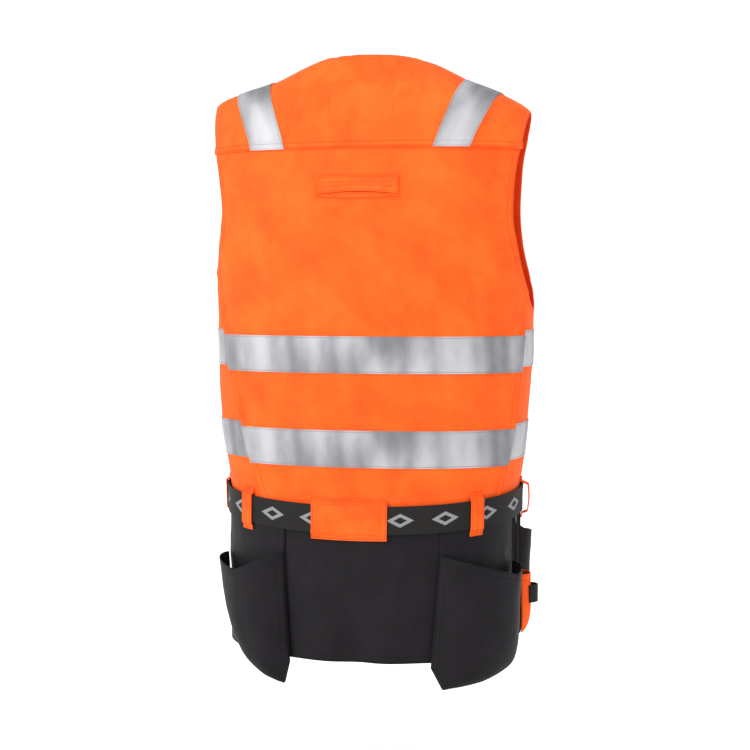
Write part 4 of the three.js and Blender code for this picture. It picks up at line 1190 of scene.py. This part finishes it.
black_webbing = webbing_finish("black_webbing", False)
for column in ("left", "right"):
    def tool_turn(share, column=column):
        turn = np.radians(-TOOL_POCKET_TURN + (share - 0.5) * TOOL_POCKET_WIDTH_TURN)
        return turn if column == "left" else np.pi - turn

    def backing_spot(i, j, turned=tool_turn):
        angle = turned(i)
        low = -TOOL_POCKET_DROP - TOOL_POCKET_HEIGHT
        return angle, mix(low, waist_level(angle) - SEAM_GAP / 2, j)

    backing = Cloth(backing_spot, board_lift, np.linspace(0, 1, 25), np.linspace(0, 1, 61))
    lay_cloth(f"tool_backing_{column}_cloth", backing, charcoal_canvas,
              [f"tool_backing_{column}"], hems=("low", "first", "last"))

    def pocket_spot(i, j, turned=tool_turn):
        return turned(i), -TOOL_POCKET_DROP - TOOL_POCKET_HEIGHT * (1 - j) + 0 * i

    def pocket_off(i, j):
        round_off = np.sin(np.pi * np.clip(i, 0, 1)) ** 0.6
        belly = np.sqrt(np.clip(1 - (1 - np.clip(j * 2, 0, 1)) ** 2, 0, 1))
        return bag_lift + TOOL_POCKET_DEPTH * round_off * belly

    pocket = Cloth(pocket_spot, pocket_off, np.linspace(0, 1, 49), np.linspace(0, 1, 41))
    lay_cloth(f"tool_pocket_{column}_cloth", pocket, orange_twill,
              [f"tool_pocket_{column}"], hems=("high", "low"))

    def strap_spot(i, j, turned=tool_turn):
        return turned(mix(0.16, 0.84, i)), -TOOL_LOOP_DROP - TOOL_LOOP_WIDTH * (1 - j) + 0 * i

    def strap_off(i, j):
        share = mix(0.16, 0.84, i)
        round_off = np.sin(np.pi * share) ** 0.6
        off = np.sin(np.pi * np.clip(i, 0, 1)) ** 0.7
        rise = TOOL_POCKET_DEPTH * round_off + CLOTH + LAY_GAP + TOOL_LOOP_STAND * off
        return bag_lift + rise + 0 * j

    strap = Cloth(strap_spot, strap_off, np.linspace(0, 1, 49), np.linspace(0, 1, 13), WEBBING)
    lay_cloth(f"tool_strap_{column}", strap, black_webbing,
              [f"tool_loop_{column}"], crisp=True)
    rows = [pocket.line("high", HEM_ROW), pocket.line("high", EDGE_ROW), pocket.line("low", EDGE_ROW)]
    sew(f"tool_pocket_{column}_stitches", rows, orange_thread)
    rows = [backing.line(edge, EDGE_ROW) for edge in ("first", "last", "low")]
    sew(f"tool_backing_{column}_stitches", rows, charcoal_thread)
    rows = [strap.line(edge, 0.0018) for edge in SIDES]
    sew(f"tool_strap_{column}_stitches", rows, charcoal_thread, 0.002)


# Belt: black woven webbing right round the waist, with a row of plain grey lozenges woven into
# it, closed by a buckle at the hidden front.
BELT_EASE = 0.0007
belt_lift = board_lift + CLOTH + BELT_EASE
BUCKLE_GAP = 0.06


def belt_spot(i, j):
    angle = mix(-np.pi / 2 + BUCKLE_GAP, 1.5 * np.pi - BUCKLE_GAP, i)
    return angle, belt_top(angle) - BELT_WIDTH * (1 - j)


belt_webbing = webbing_finish("belt_webbing", True)
belt_cloth = Cloth(belt_spot, belt_lift, np.linspace(0, 1, 481), np.linspace(0, 1, 13), WEBBING)
lay_cloth("belt_webbing", belt_cloth, belt_webbing, ["belt"], crisp=True)


# Buckle: black moulded acetal at the hidden front. A shell on the right end of the belt takes
# the tongue and the two sprung arms of the other half, whose ends show in its side windows.
BUCKLE_WIDTH = 0.062
BUCKLE_HEIGHT = 0.048
BUCKLE_THICK = 0.006
buckle_lift = belt_lift + WEBBING + LAY_GAP


def plastic_finish():
    finish = Finish("black_acetal")
    place = finish.node("ShaderNodeTexCoord", {}, {}, "Object")
    grain = finish.noise(place, 1500, 2)
    wear = finish.noise(place, 60, 3)
    colour = finish.tint(wear, (0.011, 0.011, 0.012), (0.022, 0.022, 0.024))
    finish.set(Base_Color=colour, Roughness=0.36 + wear * 0.16, Specular_IOR_Level=0.4)
    finish.relief(grain * 0.00004, 0.7)
    return finish.material


def add_block(bm, low, high, rounding, cuts=0):
    """A block with rounded edges between two corners; cuts divide its length across."""
    low = Vector(low)
    high = Vector(high)
    block = bmesh.new()
    bmesh.ops.create_cube(block, size=1)
    bmesh.ops.scale(block, vec=high - low, verts=block.verts)
    bmesh.ops.translate(block, vec=(low + high) / 2, verts=block.verts)
    bmesh.ops.bevel(block, geom=block.edges[:], offset=rounding, segments=3, profile=0.5,
                    affect="EDGES", material=-1)
    if cuts:
        long = [edge for edge in block.edges
                if abs(edge.verts[0].co.x - edge.verts[1].co.x) > 0.5 * (high.x - low.x)]
        bmesh.ops.subdivide_edges(block, edges=long, cuts=cuts, use_grid_fill=True)
    mesh = bpy.data.meshes.new("block")
    block.to_mesh(mesh)
    block.free()
    bm.from_mesh(mesh)
    bpy.data.meshes.remove(mesh)


black_acetal = plastic_finish()
bm = bmesh.new()
half = BUCKLE_HEIGHT / 2
half_wide = BUCKLE_WIDTH / 2
add_block(bm, (-half_wide, 0, -half + 0.002), (0.003, 0.0056, half - 0.002), 0.0016, 5)
add_block(bm, (-0.026, 0.004, -0.012), (-0.006, BUCKLE_THICK, 0.012), 0.0008, 3)
add_block(bm, (0.009, 0.0004, -half), (half_wide, 0.0054, half), 0.0016, 3)
add_block(bm, (0.0005, 0.0012, -0.007), (0.011, 0.0044, 0.007), 0.0008, 1)
for side in (-1, 1):
    ends = sorted((side * 0.0125, side * 0.019))
    add_block(bm, (0.0005, 0.001, ends[0]), (0.011, 0.0046, ends[1]), 0.0008, 1)
    ends = sorted((side * 0.0195, side * half))
    add_block(bm, (-0.021, 0.0012, ends[0]), (-0.007, 0.0046, ends[1]), 0.0009, 2)
middle = float(waist_level(-np.pi / 2))
reach = float(section_at(-BELT_DROP)[0])
for vert in bm.verts:
    angle = np.array(-np.pi / 2 + vert.co.x / reach)
    vert.co = off_body(angle, np.array(middle + vert.co.z), buckle_lift + vert.co.y)
bmesh.ops.recalc_face_normals(bm, faces=bm.faces[:])
make_piece("belt_buckle_shell", bm, black_acetal, ["belt_buckle"])


# Belt loops: folded strips of orange twill, stitched down above and below the belt. The wide one
# in the middle of the back is bare.
LOOP_WIDTH = 0.019
LOOP_OVERHANG = 0.01
LOOP_EASE = 0.00055
LOOP_FOOT = 0.0014
SIDE_LOOP_STAND = 0.008
WIDE_LOOP_WIDTH = 0.095
WIDE_LOOP_HEIGHT = 0.055
WIDE_LOOP_SHIFT = 0.006
# name, turn in degrees, how far it is pulled off the belt
LOOPS = [
    ("loop_back_left", 45, 0.1),
    ("loop_back_right", 137, 0.1),
    ("loop_side_left", 10, 0.25),
    ("loop_side_right", 184, 1),
    ("loop_front_left", -47, 0.1),
    ("loop_front_right", -133, 0.1),
]


def strap_over(turn, width, over, stand, columns, rows):
    clear = belt_lift + WEBBING + LAY_GAP
    marks = np.array([-over, -over * 0.5, -LOOP_FOOT, 0.25 * BELT_WIDTH, 0.5 * BELT_WIDTH,
                      0.75 * BELT_WIDTH, BELT_WIDTH + LOOP_FOOT, BELT_WIDTH + over * 0.5,
                      BELT_WIDTH + over])
    bow = np.sin(np.pi * np.arange(9) / 8)
    lifts = clear + stand * bow
    lifts[:2] = bag_lift
    lifts[7:] = CLOTH + LOOP_EASE
    table = np.column_stack([marks, lifts])

    def spot(i, j):
        angle = math.radians(turn) + (i - 0.5) * width / (CHEST_HALF * 0.8)
        return angle + 0 * j, belt_top(angle) - BELT_WIDTH + mix(marks[0], marks[-1], j)

    def lift(i, j):
        return read_table(table, 1, mix(marks[0], marks[-1], j)) + 0 * i

    return Cloth(spot, lift, np.linspace(0, 1, columns), np.linspace(0, 1, rows))


loop_cloths = []
for name, turn, stand in LOOPS:
    cloth = strap_over(turn, LOOP_WIDTH, LOOP_OVERHANG, SIDE_LOOP_STAND * stand, 13, 41)
    loop_cloths.append(cloth)
    lay_cloth(f"{name}_cloth", cloth, orange_twill, [name],
              hems=SIDES)
wide_turn = 90 - math.degrees(WIDE_LOOP_SHIFT / CHEST_HALF)
wide_loop = strap_over(wide_turn, WIDE_LOOP_WIDTH, (WIDE_LOOP_HEIGHT - BELT_WIDTH) / 2, 0, 49, 41)
lay_cloth("loop_centre_cloth", wide_loop, orange_twill, ["loop_centre"],
          hems=ALL_EDGES)
rows = [cloth.line(edge, EDGE_ROW) for cloth in loop_cloths for edge in SIDES]
rows += [wide_loop.line(edge, EDGE_ROW) for edge in ALL_EDGES]
sew("loop_stitches", rows, orange_thread)
rows = [cloth.line(edge, inset, 0.08, 0.92) for cloth in loop_cloths
        for edge in ("low", "high") for inset in (0.0016, 0.0026, 0.0036)]
sew("loop_bars", rows, orange_thread, 0.0016)


# Zip: a woven tape behind the two front edges, two rows of black moulded teeth that lock in
# turn, and a slider with its pull hanging at the top.
ZIP_TAPE_HALF = 0.016
ZIP_CHAIN_THICK = 0.0022
ZIP_SLIDER_LENGTH = 0.012
ZIP_PULL_LENGTH = 0.026
TOOTH_PITCH = 0.0026
zip_top = -V_NECK_DROP - 0.002
zip_bottom = float(waist_level(-np.pi / 2)) - BELT_WIDTH / 2 - FRONT_HEM_BELOW_BELT + 0.002


def zip_spot(i, j):
    level = mix(zip_bottom, zip_top, j) + 0 * i
    angle = angle_at(np.abs(i) * ZIP_TAPE_HALF, level, -1)
    return np.where(i < 0, -np.pi - angle, angle), level


zip_cloth = Cloth(zip_spot, -TAPE_THICK - 2 * LAY_GAP, np.linspace(-1, 1, 17),
                  np.linspace(0, 1, 121), TAPE_THICK)
lay_cloth("zip_tape_cloth", zip_cloth, black_webbing, ["zip_tape"], crisp=True)


bm = bmesh.new()
count = round((zip_top - zip_bottom) / TOOTH_PITCH * 2)
for k in range(count):
    side = 1 if k % 2 else -1
    level = np.array(mix(zip_bottom, zip_top, (k + 0.5) / count))
    seat = Vector(off_body(np.array(-np.pi / 2), level, ZIP_CHAIN_THICK / 2))
    seat.x = side * 0.0011
    tooth = Matrix.Diagonal((0.0038, ZIP_CHAIN_THICK * 0.9, TOOTH_PITCH * 0.42, 1))
    bmesh.ops.create_cube(bm, size=1, matrix=Matrix.Translation(seat) @ tooth)
teeth = make_piece("zip_teeth", bm, black_acetal, ["zip_chain"])
edge = teeth.modifiers.new("rounding", "BEVEL")
edge.width = 0.0002
edge.segments = 1

bm = bmesh.new()
seat_level = zip_top - 0.006
lift = ZIP_CHAIN_THICK + LAY_GAP
seat = Vector(off_body(np.array(-np.pi / 2), np.array(seat_level), lift))
foot = Vector(off_body(np.array(-np.pi / 2), np.array(seat_level - ZIP_PULL_LENGTH), lift))
add_block(bm, (-0.0035, 0, 0.0005 - ZIP_SLIDER_LENGTH), (0.0035, 0.0018, 0), 0.0006)
add_block(bm, (-0.0011, 0.001, -0.0095), (0.0011, 0.0036, -0.002), 0.0005)
add_block(bm, (-0.0028, 0.0024, 0.0005 - ZIP_PULL_LENGTH), (0.0028, 0.0035, -0.0065), 0.0005)
for level in (-0.0235, -0.0215, -0.0195, -0.0175):
    add_block(bm, (-0.0021, 0.003, level), (0.0021, 0.0038, level + 0.0009), 0.0003)
bmesh.ops.scale(bm, vec=(1, -1, 1), verts=bm.verts)
slope = math.atan2(foot.y - seat.y, ZIP_PULL_LENGTH)
bmesh.ops.rotate(bm, cent=(0, 0, 0), matrix=Matrix.Rotation(slope, 3, "X"), verts=bm.verts)
bmesh.ops.translate(bm, vec=seat, verts=bm.verts)
bmesh.ops.recalc_face_normals(bm, faces=bm.faces[:])
make_piece("zip_slider_and_pull", bm, black_acetal, ["zip_slider"])


# Photograph's view: a pale floor well below the vest that glows, dimly under the vest and more
# brightly further out where it fades into a white surround, one large soft lamp to the left of
# the camera, a weaker one above, and the camera itself.
bpy.ops.mesh.primitive_plane_add(size=60, location=(0, 0, -1.4))
floor = bpy.context.object
floor.name = "floor"
floor_finish = Finish("pale_floor")
place = floor_finish.node("ShaderNodeTexCoord", {}, {}, "Object")
away = floor_finish.node("ShaderNodeVectorMath", {"operation": "LENGTH"}, [place], "Value")
# Painted light: the floor glows, dimmer under the vest and brighter further out.
glow = floor_finish.tint(away.clipped(0.8, 2.2), (0.1, 0.1, 0.1), (0.8, 0.8, 0.8))
floor_finish.set(Base_Color=(0.82, 0.82, 0.82, 1), Roughness=0.9, Emission_Color=glow)
floor_finish.set(Emission_Strength=1.0)
floor.data.materials.append(floor_finish.material)

world = bpy.data.worlds.new("soft_room")
world.use_nodes = True
room = world.node_tree
way = room.nodes.new("ShaderNodeTexCoord")
height = room.nodes.new("ShaderNodeSeparateXYZ")
fall = room.nodes.new("ShaderNodeMapRange")
fall.interpolation_type = "SMOOTHSTEP"
fall.inputs["From Min"].default_value = 0.22
fall.inputs["From Max"].default_value = 0.75
fall.inputs["To Min"].default_value = 1.08
fall.inputs["To Max"].default_value = 0.4
room.links.new(way.outputs["Generated"], height.inputs["Vector"])
room.links.new(height.outputs["Z"], fall.inputs["Value"])
room.links.new(fall.outputs["Result"], room.nodes["Background"].inputs["Strength"])
room.nodes["Background"].inputs["Color"].default_value = (1, 1, 1, 1)
bpy.context.scene.world = world


def add_lamp(name, place, aim, size, power):
    data = bpy.data.lights.new(name, "AREA")
    data.shape = "RECTANGLE"
    data.size = size[0]
    data.size_y = size[1]
    data.energy = power
    lamp = bpy.data.objects.new(name, data)
    lamp.location = place
    lamp.rotation_euler = (Vector(aim) - Vector(place)).to_track_quat("-Z", "Y").to_euler()
    bpy.context.collection.objects.link(lamp)


add_lamp("key_lamp", (1.9, 2.2, 1.1), (0, 0, -0.4), (1.3, 1.6), 55)
add_lamp("top_lamp", (-0.8, 0.6, 2.2), (0, 0, -0.3), (1.6, 1.0), 30)

camera_data = bpy.data.cameras.new("camera")
camera_data.lens = 70.3
camera_data.sensor_width = 36
camera = bpy.data.objects.new("camera", camera_data)
camera.location = (-0.437, 2.054, -0.305)
camera.rotation_euler = (Vector((0, 0, -0.434)) - camera.location).to_track_quat("-Z", "Y").to_euler()
bpy.context.collection.objects.link(camera)
bpy.context.scene.camera = camera
bpy.context.scene.view_settings.view_transform = "Standard"
